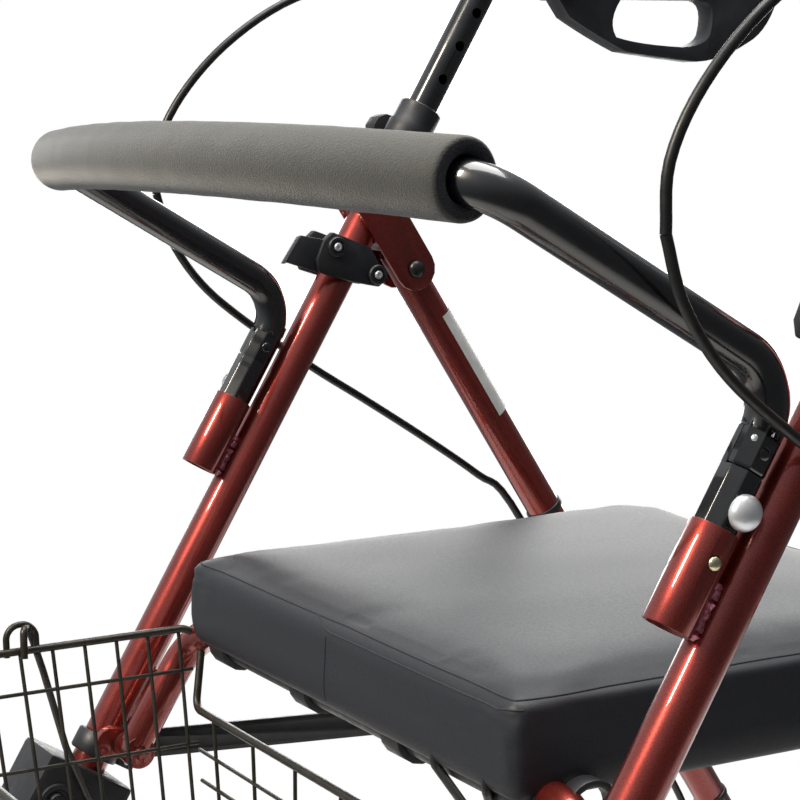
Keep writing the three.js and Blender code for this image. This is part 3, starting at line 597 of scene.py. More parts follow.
def add_plate(shape, outline, x0, x1):
    """A plate between two X planes; the outline is a list of points whose x is ignored."""
    ends = [[shape.verts.new((x * MM, p.y, p.z)) for p in outline] for x in (x0, x1)]
    shape.faces.new(ends[0])
    shape.faces.new(ends[1])
    for k in range(len(outline)):
        n = (k + 1) % len(outline)
        shape.faces.new((ends[0][k], ends[0][n], ends[1][n], ends[1][k]))


def plate_piece(name, outline, x0, x1, material, body, bevel_mm=0.6):
    shape = bmesh.new()
    add_plate(shape, outline, x0, x1)
    return finish_piece(name, shape, material, body, bevel_mm)


def cut_holes(piece, centres, radius_mm):
    """Bores round holes along X through the piece."""
    shape = bmesh.new()
    for centre in centres:
        reach = Vector((0.03, 0, 0))
        add_tube(shape, [centre - reach, centre + reach], radius_mm, 20)
    mesh = bpy.data.meshes.new("drills")
    shape.to_mesh(mesh)
    shape.free()
    drills = bpy.data.objects.new("drills", mesh)
    bpy.context.scene.collection.objects.link(drills)
    cut = piece.modifiers.new("holes", "BOOLEAN")
    cut.object = drills
    cut.solver = "EXACT"
    apply_modifiers(piece)
    bpy.data.objects.remove(drills)


def bake(piece):
    """Turns the piece's modifiers into plain mesh."""
    graph = bpy.context.evaluated_depsgraph_get()
    baked = bpy.data.meshes.new_from_object(piece.evaluated_get(graph))
    piece.modifiers.clear()
    piece.data = baked


def apply_modifiers(piece):
    """Bakes the piece's modifiers into its mesh, then shades it again."""
    bake(piece)
    soften(piece, 0)


# ---------------------------------------------------------------- CAD nodes that keep their shape

CAD_LOOKS = {
    "front_leg": (RED, 0.3),
    "pivot_bracket": (RED, 0.7),
    "pivot_bolt": (SATIN, 0.3),
    "backrest_socket": (RED, 0.4),
    "snap_button": (BRASS, 0.3),
    "height_knob": (PLASTIC, 1.2),
    "caster_housing": (PLASTIC, 3.0),
    "caster_fork": (PLASTIC, 1.5),
    "front_hub": (PLASTIC, 0.8),
    "front_axle": (ZINC, 0.5),
    "rear_leg": (RED, 0.3),
    "rear_wheel_bracket": (PLASTIC, 1.5),
    "rear_hub": (PLASTIC, 0.8),
    "rear_axle": (ZINC, 0.5),
    "brake_arm": (SATIN, 1.0),
    "brake_housing": (PLASTIC, 1.5),
    "brake_lever": (GREY, 2.0),
    "side_link_front": (SATIN, 0.4),
    "side_link_rear": (SATIN, 0.4),
}
SINGLE_LOOKS = {
    "front_crossbar": (RED, 0.3),
    "seat_rest_bar": (RED, 0.3),
    "seat_pan": (PLASTIC, 0.5),
}


def dress(node, material, bevel_mm):
    """Gives a CAD node its material; its mesh stays, and modifiers weld, round and shade it."""
    piece = frame["nodes"][node]
    piece.data.materials.clear()
    piece.data.materials.append(material)
    weld = piece.modifiers.new("weld", "WELD")
    weld.merge_threshold = 0.02 * MM
    soften(piece, bevel_mm)


def dress_cad_nodes():
    for tag, _ in SIDES:
        for name, (material, bevel_mm) in CAD_LOOKS.items():
            dress(f"{name}_{tag}", material, bevel_mm)
    for name, (material, bevel_mm) in SINGLE_LOOKS.items():
        dress(name, material, bevel_mm)


# ---------------------------------------------------------------- brake cables, first as the guide asks


def brake_cables():
    for tag, sign in SIDES:
        route = [mm(sign * x, y, z) for x, y, z in CABLE_ROUTE]
        route[0].y -= 0.3 * MM
        upper = smooth_path(route[:CABLE_SPLIT + 1], 5)
        on_leg = [on_rear_leg(s, 15.5, sign * x) for s, x in CABLE_ON_LEG]
        lower = smooth_path(route[CABLE_SPLIT:] + on_leg, 5)
        cable(f"brake_cable_upper_{tag}", upper, tag)
        cable(f"brake_cable_lower_{tag}", lower, tag)


def cable(name, path, tag):
    """A cord swept along the path and left on no body."""
    shape = bmesh.new()
    add_tube(shape, path, CABLE_R, 16)
    piece = finish_piece(name, shape, SHEATH, None, 0)
    apply_modifiers(piece)
    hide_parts(f"brake_cable_{tag}")
    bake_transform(piece)


# ---------------------------------------------------------------- handles


def handle_tube(tag, sign):
    x = sign * LEG_X
    corner_at = (GRIP_Z - SEAM_Z) / math.cos(FRONT_LEAN)
    path = bent_path(
        [on_front_leg(120, 0, x), on_front_leg(corner_at, 0, x), mm(x, GRIP_REAR_Y - 4, GRIP_Z)],
        [HANDLE_BEND_R])
    shape = bmesh.new()
    outside = add_tube(shape, path, TUBE_R, 40, caps=False)
    inside = add_tube(shape, path, TUBE_R - WALL, 40, caps=False)
    for end in (0, -1):
        for k in range(40):
            n = (k + 1) % 40
            shape.faces.new((outside[end][k], outside[end][n], inside[end][n], inside[end][k]))
    piece = finish_piece(f"handle_tube_smooth_{tag}", shape, GLOSS, None, 0)
    cut_holes(piece, [on_front_leg(KNOB_AT + k * HOLE_PITCH, 0, x) for k in range(-1, 5)], HOLE_R)
    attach(piece, f"handle_{tag}")
    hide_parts(f"handle_tube_{tag}")


def grip(tag, sign):
    """A hand grip with a flange at its front, finger ribs and a domed end."""
    profile = [(TUBE_R + 0.3, 0), (GRIP_R - 1.2, 0), (GRIP_R, 1.2), (GRIP_R, 3.4), (GRIP_R - 1.8, 5)]
    for k in range(13):
        at = 12 + k * 8
        profile += [
            (GRIP_R - 2.4, at - 1.4), (GRIP_R - 1.0, at), (GRIP_R - 1.0, at + 3.2), (GRIP_R - 2.4, at + 4.6)]
    length = GRIP_REAR_Y - GRIP_FRONT_Y
    profile += [
        (GRIP_R - 0.6, length - 9), (GRIP_R, length - 6), (GRIP_R - 0.8, length - 2.4),
        (GRIP_R - 4, length - 0.6), (0, length),
    ]
    piece = turned_piece(
        f"grip_ribbed_{tag}", profile, mm(sign * LEG_X, GRIP_FRONT_Y, GRIP_Z), Vector((0, 1, 0)), GRIP,
        f"handle_{tag}", 48)
    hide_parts(f"grip_{tag}")


def leg_collar(tag, sign):
    """The plastic collar where the handle tube enters the leg."""
    r = TUBE_R + 0.4
    profile = [
        (r, 13), (LEG_R + 1.4, 13), (LEG_R + 2.2, 12.2),
        (LEG_R + 2.4, 1), (LEG_R + 3.6, -1), (LEG_R + 3.6, -13),
        (LEG_R + 2.8, -14), (LEG_R + 0.2, -14), (LEG_R + 0.2, 1), (r, 1), (r, 13),
    ]
    origin = on_front_leg(FRONT_TOP, 0, sign * LEG_X)
    axis = on_front_leg(FRONT_TOP + 1) - on_front_leg(FRONT_TOP)
    turned_piece(f"leg_collar_{tag}", profile, origin, axis, PLASTIC, "front_frame", 40)


def lever_details(tag, sign):
    """The pivot screw of the lever and the cable's adjuster."""
    head = [(0, 1.6), (3.2, 1.6), (4.6, 0.9), (5.0, 0), (5.0, -0.6)]
    outward = Vector((sign, 0, 0))
    turned_piece(
        f"lever_screw_{tag}", head, mm(sign * (LEG_X + 15.2), 93, 783), outward, ZINC, f"handle_{tag}", 24)
    adjuster = [
        (3.1, 0), (4.4, 0.4), (4.4, 3), (3.9, 3.4), (4.4, 3.8),
        (4.4, 6.4), (3.9, 6.8), (4.4, 7.2), (4.4, 9.6),
        (3.6, 10.4), (3.4, 13.4), (2.7, 14),
    ]
    turned_piece(
        f"cable_adjuster_{tag}", adjuster, mm(sign * 256, 71, 786.4), Vector((0, -1, 0.06)), PLASTIC,
        f"handle_{tag}", 24)


# ---------------------------------------------------------------- back support


def on_top_curve(t):
    """The back support's curved top, t from -1 at one corner to 1 at the other."""
    rise = BAR_BULGE * (1 - t * t)
    return mm(t * BAR_CORNER[0], BAR_CORNER[1] - rise, BAR_CORNER[2] + rise * BAR_RISE)


def backrest_path():
    """From just above one hinge, over the curved top, to just above the other."""
    def arm(sign):
        return [
            on_front_leg(BACK_HINGE + 12, SOCKET_OFFSET, sign * LEG_X),
            on_front_leg(BAR_BEND, SOCKET_OFFSET, sign * LEG_X),
        ]
    top = [on_top_curve(t) for t in (1, 0.5, 0, -0.5, -1)]
    return bent_path(arm(1) + top + arm(-1)[::-1], [26, 24, 420, 420, 420, 24, 26])


def backrest_bar():
    shape = bmesh.new()
    path = backrest_path()
    radii = [TUBE_R] * len(path)
    add_tube(shape, path, radii, 36)
    for _, sign in SIDES:
        half = [(-9.2, 0.86), (-8.6, 0.96), (-7.4, 1.0), (11, 1.0)]
        join_rings(shape, [hinge_section(shape, sign, BACK_HINGE + s, size, 0, 1) for s, size in half])
        whole = [(10.5, 0.0), (11.5, 0.15), (13, 0.6), (14.5, 0.9), (16, 1.0)]
        join_rings(shape, [hinge_section(shape, sign, BACK_HINGE + s, 1.0, round_) for s, round_ in whole])
        dimple(shape, sign, sign * (LEG_X + HINGE_FLAT))
    piece = finish_piece("backrest_tube", shape, GLOSS, "backrest", 0)
    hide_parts("backrest_bar")


def hinge_section(shape, sign, s, size=1.0, roundness=0.0, face=0):
    """One ring across the bar, eight-sided to round, whole or only its outer (1) or inner (-1) half."""
    ring = []
    for k in range(48):
        angle = TAU * k / 48
        off_flat = (angle + math.pi / 8) % (math.pi / 4) - math.pi / 8
        reach = HINGE_FLAT / math.cos(off_flat)
        reach = (reach + (TUBE_R - reach) * roundness) * size
        out = reach * math.cos(angle)
        if face:
            out = face * max(HINGE_SPLIT, face * out)
        forward = SOCKET_OFFSET + reach * math.sin(angle)
        ring.append(shape.verts.new(on_front_leg(s, forward, sign * (LEG_X + out))))
    return ring


def join_rings(shape, rings):
    """Side faces from ring to ring, and a cap on the first and the last."""
    count = len(rings[0])
    for a, b in zip(rings, rings[1:]):
        for k in range(count):
            shape.faces.new((a[k], a[(k + 1) % count], b[(k + 1) % count], b[k]))
    shape.faces.new(rings[0])
    shape.faces.new(rings[-1])


def dimple(shape, sign, x):
    """The hinge rivet's small rounded head on the flat of the half lap."""
    outward = Vector((sign if abs(x) > LEG_X else -sign, 0, 0))
    origin = on_front_leg(BACK_HINGE, SOCKET_OFFSET, x)
    profile = [(2.9, -0.4), (2.8, 0.2), (2.2, 0.55), (1.2, 0.8), (0, 0.9)]
    add_turned(shape, profile, origin, outward, 24)


def bar_rivet(tag, sign):
    """The small bright rivet in the front outer side of the bar, just above its hinge."""
    origin = on_front_leg(121, SOCKET_OFFSET + 6.0, sign * (LEG_X + 6.0))
    forward = on_front_leg(0, 1) - on_front_leg(0)
    outward = (forward.normalized() + Vector((sign, 0, 0))).normalized()
    head = [(1.7, 0), (1.6, 0.5), (1.1, 0.9), (0, 1.1)]
    turned_piece(f"bar_rivet_{tag}", head, origin, outward, ZINC, "backrest", 24)


def backrest_stub(tag, sign):
    """The eight-sided lower end of the back support, with a half lap at its top."""
    shape = bmesh.new()
    join_rings(shape, [hinge_section(shape, sign, s) for s in (44, 78, 100, BACK_HINGE - 9.4)])
    half = [(-10, 1.0), (7.4, 1.0), (9, 0.96), (9.8, 0.86)]
    join_rings(shape, [hinge_section(shape, sign, BACK_HINGE + s, size, 0, -1) for s, size in half])
    dimple(shape, sign, sign * (LEG_X - HINGE_FLAT))
    piece = finish_piece(f"stub_faceted_{tag}", shape, GLOSS, "front_frame", 0.7)
    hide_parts(f"backrest_stub_{tag}")


def lock_pin(tag, sign):
    """The push pin, with a smooth domed head."""
    dome = [(7.8 * math.cos(a), 15.6 + 5.4 * math.sin(a)) for a in (math.radians(6 * k) for k in range(15))]
    profile = [(0, 0), (3, 0), (3, 14.2), (7.0, 14.2), (7.8, 14.8), *dome, (0, 21)]
    origin = on_front_leg(LOCK_PIN_AT, 22.5, sign * (LEG_X - 3))
    piece = turned_piece(
        f"lock_pin_domed_{tag}", profile, origin, Vector((sign, 0, 0)), ZINC, f"lock_{tag}", 48)
    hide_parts(f"lock_pin_{tag}")


def snap_button(tag, sign):
    """The brass snap button that holds the stub in its socket, with a domed end."""
    profile = [(0, 0), (3.2, 0), (3.2, 2.2), (3.05, 2.9), (2.6, 3.5), (1.8, 3.95), (0.9, 4.15), (0, 4.2)]
    origin = on_front_leg(SNAP_AT, SOCKET_OFFSET, sign * (LEG_X + TUBE_R - 1.2))
    piece = turned_piece(
        f"snap_button_domed_{tag}", profile, origin, Vector((sign, 0, 0)), BRASS, f"snap_{tag}", 40)
    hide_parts(f"snap_button_{tag}")


def foam_sleeve():
    """The foam roll: a slightly uneven skin, softly rounded edges and cut ends round the tube, their dark
    colour partly painted shade.
    """
    reach = (FOAM_END_X + FOAM_PAST_END) / BAR_CORNER[0]
    count = 72
    sides = 56
    spots = [on_top_curve(reach * (1 - 2 * k / count)) for k in range(count + 1)]
    lead = (spots[0] - spots[1]).normalized() * MM
    tail = (spots[-1] - spots[-2]).normalized() * MM
    rounding = [(0.0, 1.6), (0.35, 0.75), (1.0, 0.25), (2.0, 0.0)]
    path = [spots[0] - lead * inset for inset, _ in rounding] + spots[1:-1]
    path += [spots[-1] - tail * inset for inset, _ in rounding[::-1]]
    radii = [FOAM_R - drop for _, drop in rounding] + [FOAM_R] * (count - 1)
    radii += [FOAM_R - drop for _, drop in rounding[::-1]]
    shape = bmesh.new()
    rings = add_tube(shape, path, radii, sides, caps=False)
    for end, step in ((0, lead), (-1, tail)):
        middle = path[end]
        inner = [
            [
                shape.verts.new(middle - step * depth + (v.co - middle).normalized() * r * MM)
                for v in rings[end]
            ]
            for r, depth in (
                (FOAM_R * 0.72, -0.2), (TUBE_R + 1.2, 0.3), (TUBE_R + 0.3, 1.4), (TUBE_R + 0.3, 12))
        ]
        for a, b in zip([rings[end], *inner], inner):
            for k in range(sides):
                face = shape.faces.new((a[k], a[(k + 1) % sides], b[(k + 1) % sides], b[k]))
                face.material_index = 1
    for vertex in shape.verts:
        wobble = noise.noise(vertex.co * 55) * 0.3 + noise.noise(vertex.co * 160) * 0.1
        vertex.co += (vertex.co - nearest_on(path, vertex.co)).normalized() * wobble * MM
    # the second material darkens the cut ends: partly their own tone, partly painted shade
    piece = finish_piece("foam_sleeve", shape, (FOAM, FOAM_CUT_AND_SHADE), "backrest", 0)
    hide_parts("backrest_foam")


def nearest_on(path, place):
    return min(path, key=lambda p: (p - place).length_squared)


def socket_welds(tag, sign):
    """Two lumpy beads between the socket and the leg, one on each side."""
    for face, side in (("out", 1), ("in", -1)):
        shape = bmesh.new()
        path = []
        radii = []
        for k in range(WELD_STEPS):
            s = WELD_LOW + (WELD_HIGH - WELD_LOW) * k / (WELD_STEPS - 1)
            x = sign * LEG_X + side * (4.2 + 0.7 * math.sin(k * 2.1))
            path.append(on_front_leg(s, SOCKET_OFFSET / 2 + 0.6 + 0.3 * math.sin(k * 1.3), x))
            radii.append(2.4 + 0.45 * math.sin(k * 2.7) if 0 < k < WELD_STEPS - 1 else 1.2)
        add_tube(shape, path, radii, 14)
        # the weld material's colour carries painted light: it is lifted brighter than the red paint
        finish_piece(f"socket_weld_{face}_{tag}", shape, WELD, "front_frame", 0)


# ---------------------------------------------------------------- hardware on the frame


def screw_head(name, origin, outward, radius, material, body):
    """A round screw head with a hexagon socket look: a raised rim, a sunk middle."""
    profile = [
        (radius, 0), (radius, radius * 0.35), (radius * 0.84, radius * 0.6), (radius * 0.5, radius * 0.66),
        (radius * 0.42, radius * 0.3), (0, radius * 0.28),
    ]
    turned_piece(name, profile, origin, outward, material, body, 28)


def leg_clamp(tag, sign):
    """The plastic clamp on each front leg: two cheeks and two screws; the right one has a clip in front."""
    x = sign * LEG_X
    cheek = [
        mm(0, y, z) for y, z in (
            (-82, 629), (-76, 634), (-67, 630.5), (-50, 623),
            (-43.5, 611), (-41, 603), (-45, 599), (-52, 600.5),
            (-63, 603), (-76, 607), (-86, 610.5), (-87, 618))
    ]
    shape = bmesh.new()
    for face in (-1, 1):
        add_plate(shape, cheek, x + face * (LEG_R - WALL), x + face * (LEG_R + 4.2))
    finish_piece(f"leg_clamp_{tag}", shape, PLASTIC, "front_frame", 1.2)
    if tag == "R":
        clamp_clip(x)
    for index, (y, z) in enumerate(((-73.5, 625), (-46.5, 606.6))):
        for face in (-1, 1):
            outward = Vector((face, 0, 0))
            origin = mm(x + face * (LEG_R + 3.9), y, z)
            side = "in" if face * sign < 0 else "out"
            boss = [(6.2, -0.4), (6.2, 1.4), (5.6, 2.1), (4.2, 2.1), (4.0, 1.2), (0, 1.2)]
            turned_piece(
                f"clamp_boss_{index}_{side}_{tag}", boss, origin, outward, PLASTIC, "front_frame", 28)
            screw_head(
                f"clamp_screw_{index}_{side}_{tag}", origin + outward * 1.0 * MM, outward, 2.6, ZINC,
                "front_frame")


def clamp_clip(x):
    """The thin clip that stands out of the right leg's clamp: a leaf with a lip along its front."""
    leaf = [mm(0, y, z) for y, z in ((-80, 629.5), (-96, 633), (-106.5, 617.5), (-84, 609.5))]
    lip = [mm(0, y, z) for y, z in ((-95, 633), (-97, 632), (-108, 616.4), (-106, 617.2))]
    shape = bmesh.new()
    add_plate(shape, leaf, x + 10.2, x + LEG_R + 1.6)
    add_plate(shape, lip, x + 7.5, x + LEG_R + 1.6)
    finish_piece("clamp_clip", shape, GREY, "front_frame", 0.5)


def link_bolts(tag, sign):
    """Shoulder bolt heads at the middle and rear pivots of the side links, and a nut on the middle one."""
    middle = ((LINK_FRONT[0] + LINK_REAR[0]) / 2, (LINK_FRONT[1] + LINK_REAR[1]) / 2)
    inward = Vector((-sign, 0, 0))
    spots = (
        ("middle", middle, 223.2, "front_links"),
        ("rear", LINK_REAR, 226.4, "rear_frame"),
    )
    for name, (y, z), x, body in spots:
        screw_head(f"link_bolt_{name}_{tag}", mm(sign * x, y, z), inward, 5.6, SATIN, body)
    screw_head(
        f"link_nut_middle_{tag}", mm(sign * 229.7, *middle), -inward, 5.2, SATIN, "rear_links")


def caster_hardware(tag, sign):
    """The housing's cross bolt, the clamp band above it and the lug for the basket rod."""
    x = sign * LEG_X
    for face in (-1, 1):
        outward = Vector((face, 0, 0))
        origin = on_front_leg(-177, 18, x + face * 23)
        side = "in" if face * sign < 0 else "out"
        washer = [(10.5, -0.3), (10.5, 1.1), (9.8, 1.8), (7.4, 1.8), (6.8, 0.8), (0, 0.8)]
        turned_piece(
            f"housing_washer_{side}_{tag}", washer, origin, outward, PLASTIC, "front_frame", 36)
        screw_head(
            f"housing_bolt_{side}_{tag}", origin + outward * 0.7 * MM, outward, 5.2, SATIN, "front_frame")
    axis = on_front_leg(1) - on_front_leg(0)
    band = [
        (LEG_R + 0.2, 0), (LEG_R + 2.6, 0), (LEG_R + 3.4, 1),
        (LEG_R + 3.4, 12), (LEG_R + 2.6, 13), (LEG_R + 0.2, 13)]
    turned_piece(
        f"clamp_band_{tag}", band, on_front_leg(-146, 0, x), axis, PLASTIC, "front_frame", 40)
    ears = [on_front_leg(s, p) for s, p in ((-145, -12), (-134, -12), (-134, -24), (-138, -27), (-145, -25))]
    plate_piece(f"band_ears_{tag}", ears, x - 6, x + 6, PLASTIC, "front_frame", 1.0)
    for face in (-1, 1):
        side = "in" if face * sign < 0 else "out"
        screw_head(
            f"band_screw_{side}_{tag}", on_front_leg(-139.5, -19, x + face * 6), Vector((face, 0, 0)), 3.4,
            ZINC, "front_frame")


def cable_clips(tag, sign):
    """Plastic clips that hold the cable to the rear leg."""
    axis = on_rear_leg(1) - on_rear_leg(0)
    for index, s in enumerate(CABLE_CLIPS_AT):
        ring = [
            (LEG_R + 0.1, 0), (LEG_R + 0.8, 0.2), (LEG_R + 1.0, 0.8), (LEG_R + 1.0, 3.2), (LEG_R + 0.8, 3.8),
            (LEG_R + 0.1, 4)]
        turned_piece(
            f"cable_clip_{index}_{tag}", ring, on_rear_leg(s, 0, sign * LEG_X), axis, PLASTIC, "rear_frame",
            36)


def rear_label(tag, sign):
    """A blank strip of label that wraps part of the rear leg's back."""
    low, high = -143, -66
    shape = bmesh.new()
    rings = []
    count = 24
    for k in range(count + 1):
        s = low + (high - low) * k / count
        ring = []
        for step in range(13):
            angle = math.radians(93 + 112 * step / 12)
            r = LEG_R + 0.22
            ring.append(shape.verts.new(
                on_rear_leg(s, r * math.cos(angle), sign * LEG_X + r * math.sin(angle))))
        rings.append(ring)
    for a, b in zip(rings, rings[1:]):
        for k in range(12):
            shape.faces.new((a[k], a[k + 1], b[k + 1], b[k]))
    finish_piece(f"blank_label_{tag}", shape, LABEL, "rear_frame", 0)


# ---------------------------------------------------------------- wheels


def tyre(name, x, y, sign, body, node):
    """A solid tyre with a grooved tread."""
    half = WHEEL_W / 2
    profile = [
        (RIM_R - 1.2, -half + 2), (RIM_R + 6, -half + 0.6), (RIM_R + 14, -half), (WHEEL_R - 8, -half + 0.3),
        (WHEEL_R - 3.2, -half + 2.4), (WHEEL_R - 0.6, -half + 6), (WHEEL_R - 0.1, -6), (WHEEL_R - 1.8, -5),
        (WHEEL_R - 1.8, -3.4), (WHEEL_R, -2.4),
    ]
    profile += [(r, -along) for r, along in profile[::-1]]
    profile.append(profile[0])
    piece = turned_piece(
        name, profile, mm(x, y, WHEEL_R), Vector((sign, 0, 0)), TYRE, body, 96)
    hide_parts(node)


def wheels(tag, sign):
    front_low, front_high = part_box(f"front_tyre_{tag}")
    rear_low, rear_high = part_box(f"rear_tyre_{tag}")
    front = (front_low + front_high) / 2 / MM
    rear = (rear_low + rear_high) / 2 / MM
    tyre(f"front_tyre_grooved_{tag}", front.x, front.y, sign, f"front_wheel_{tag}", f"front_tyre_{tag}")
    tyre(f"rear_tyre_grooved_{tag}", rear.x, rear.y, sign, f"rear_wheel_{tag}", f"rear_tyre_{tag}")
    cap = [(9, 0), (9, 2.2), (7.6, 3.6), (4, 4.4), (0, 4.6)]
    low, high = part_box(f"rear_axle_{tag}")
    outer = high.x if sign > 0 else low.x
    origin = Vector((outer - sign * 4.6 * MM, rear.y * MM, WHEEL_R * MM))
    turned_piece(
        f"axle_cap_{tag}", cap, origin, Vector((sign, 0, 0)), PLASTIC, "rear_frame", 32)


# ---------------------------------------------------------------- seat


def seat_support_tube():
    points = [
        mm(RAIL_X, LINK_FRONT[0], LINK_FRONT[1] + 3), mm(RAIL_X, RAIL_CORNER_Y, RAIL_Z),
        mm(-RAIL_X, RAIL_CORNER_Y, RAIL_Z), mm(-RAIL_X, LINK_FRONT[0], LINK_FRONT[1] + 3),
    ]
    shape = bmesh.new()
    add_tube(shape, bent_path(points, [RAIL_BEND_R, RAIL_BEND_R]), TUBE_R, 36)
    for _, sign in SIDES:
        eye = [mm(sign * x, *LINK_FRONT) for x in (RAIL_X - 8, RAIL_X + TUBE_R - 0.2)]
        add_tube(shape, eye, TUBE_R, 36)
    piece = finish_piece("seat_tube_smooth", shape, RED, "front_frame", 0.5)
    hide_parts("seat_support_tube")


def gusset(tag, sign):
    """The welded plate between the leg's inner side and the support tube's foot."""
    outline = [
        mm(0, y, z) for y, z in (
            (-195.4, 379), (-202.9, 362.2), (-214.5, 347.2), (-224.5, 337.2), (-231, 338), (-206, 380))
    ]
    plate_piece(f"gusset_{tag}", outline, sign * 234, sign * 238, RED, "front_frame", 0.5)


def cushion_outline(inset, spacing=None):
    """The cushion's outline from above, in mm, moved in by inset. spacing adds points along its sides."""
    r = max(4, SEAT_CORNER_R - inset * 0.4)
    back_r = SEAT_REAR_CORNER_R - inset * 0.4
    half = SEAT_W / 2 - inset
    front = SEAT_FRONT + inset
    rear = SEAT_FRONT + SEAT_D - inset
    corners = (
        (half - r, front + r, -90, r), (half - back_r, rear - back_r, 0, back_r),
        (-half + back_r, rear - back_r, 90, back_r), (-half + r, front + r, 180, r))
    made = []
    for cx, cy, start, r in corners:
        for k in range(9):
            angle = math.radians(start + 90 * k / 8)
            made.append((cx + r * math.cos(angle), cy + r * math.sin(angle)))
    if spacing is None:
        return made
    spaced = []
    for a, b in zip(made, made[1:] + made[:1]):
        count = max(1, round(math.dist(a, b) / spacing))
        spaced += [(a[0] + (b[0] - a[0]) * k / count, a[1] + (b[1] - a[1]) * k / count) for k in range(count)]
    return spaced


def cushion_block():
    """The boxed shape before it is inflated: upright sides, a turned-in foot and a low crown."""
    levels = (
        (SEAT_BOTTOM - 5, 5), (SEAT_BOTTOM - 4.4, 1.8), (SEAT_BOTTOM, 0.4), (SEAT_BOTTOM + 12, -0.6),
        (SEAT_BOTTOM + 26, -0.4), (SEAM_Z - 4, 0.4), (SEAM_Z, 1.2), (SEAM_Z + 1.4, 5), (SEAM_Z + 2.6, 16),
        (SEAM_Z + 3.4, 44),
    )
    shape = bmesh.new()
    rings = [[shape.verts.new(mm(x, y, z)) for x, y in cushion_outline(inset)] for z, inset in levels]
    join_rings(shape, rings)
    return shape


def seat_cushion():
    """A crowned, boxed cushion, inflated as cloth, with its seams sewn in afterwards."""
    piece = finish_piece("seat_cushion_sewn", cushion_block(), VINYL, None, 0)
    piece.modifiers.clear()
    remesh = piece.modifiers.new("even", "REMESH")
    remesh.mode = "VOXEL"
    remesh.voxel_size = 5 * MM
    bake(piece)
    inflate(piece)
    smooth = piece.modifiers.new("smooth", "SUBSURF")
    smooth.levels = 1
    smooth.render_levels = 1
    bake(piece)
    wrinkle(piece)
    for polygon in piece.data.polygons:
        polygon.use_smooth = True
    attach(piece, "seat")
    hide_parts("seat_cushion")
    seat_seams(piece)


def inflate(piece):
    """Cloth under pressure, held at its foot; no point may move further than the cap."""
    rest = [v.co.copy() for v in piece.data.vertices]
    held = piece.vertex_groups.new(name="held")
    held.add([i for i, co in enumerate(rest) if co.z < (SEAT_BOTTOM + 3) * MM], 1.0, "REPLACE")
    cloth = piece.modifiers.new("cloth", "CLOTH")
    settings = cloth.settings
    settings.use_pressure = True
    settings.uniform_pressure_force = 4
    settings.effector_weights.gravity = 0
    settings.vertex_group_mass = "held"
    settings.tension_stiffness = 30
    settings.bending_stiffness = 4
    for step in range(1, 21):
        bpy.context.scene.frame_set(step)
    bake(piece)
    bpy.context.scene.frame_set(1)
    relax = piece.modifiers.new("relax", "SMOOTH")
    relax.factor = 0.5
    relax.iterations = 5
    bake(piece)
    for vertex, start in zip(piece.data.vertices, rest):
        move = vertex.co - start
        if move.length > INFLATE_CAP * MM:
            move *= INFLATE_CAP * MM / move.length
        vertex.co = start + Vector((move.x * 0.4, move.y * 0.4, move.z * 0.85))


def wrinkle(piece):
    """A groove for the seam, gathers at the corners and a slow unevenness everywhere."""
    corners = [
        (x, y) for x in (8 - SEAT_W / 2, SEAT_W / 2 - 8) for y in (SEAT_FRONT + 8, SEAT_FRONT + SEAT_D - 8)]
    for vertex in piece.data.vertices:
        x, y, z = vertex.co / MM
        outward = outward_from_core(x, y)
        near = min(math.hypot(x - cx, y - cy) for cx, cy in corners)
        gather = max(0.0, 1 - near / 48) * max(0.0, 1 - abs(z - SEAM_Z + 5) / 20)
        groove = max(0.0, 1 - abs(z - SEAM_Z) / 3.2) if is_side(x, y) else 0.0
        slow = noise.noise(Vector((x, y, z)) * 0.016)
        ripple = noise.noise(Vector((x * 0.07, y * 0.07, z * 0.22)))
        vertex.co += outward * (ripple * 1.5 * gather - groove * 0.9 + slow * 0.5) * MM
        if z > SEAM_Z + 2:
            across = min(1.0, abs(x) / (SEAT_W / 2))
            along = min(1.0, abs(y - SEAT_FRONT - SEAT_D / 2) / (SEAT_D / 2))
            vertex.co.z += (slow * 0.5 + SEAT_CROWN * (1 - across * across) * (1 - along * along)) * MM


def outward_from_core(x, y):
    """The level direction out of the cushion at x, y, in mm; zero well inside it."""
    corner = SEAT_CORNER_R if y < SEAT_FRONT + SEAT_D / 2 else SEAT_REAR_CORNER_R
    core_x = SEAT_W / 2 - corner
    core_front = SEAT_FRONT + corner
    core_rear = SEAT_FRONT + SEAT_D - corner
    away = Vector((x - max(-core_x, min(core_x, x)), y - max(core_front, min(core_rear, y)), 0))
    return away.normalized() if away.length > 0.01 else away


def is_side(x, y):
    margin = 9
    return (
        abs(x) > SEAT_W / 2 - margin or y < SEAT_FRONT + margin or y > SEAT_FRONT + SEAT_D - margin)


def on_cushion(piece, x, y, z):
    """The point of the cushion's side that is reached when coming in level towards x, y."""
    outward = outward_from_core(x, y)
    hit, place, _, _ = piece.ray_cast(mm(x, y, z) + outward * 30 * MM, -outward)
    return place if hit else mm(x, y, z)


def sewn_line(piece, name, places, radius, material, closed=False):
    path = [on_cushion(piece, *place) for place in places]
    if closed:
        path.append(path[0].copy())
    tube_piece(name, path, radius, material, "seat", 8)


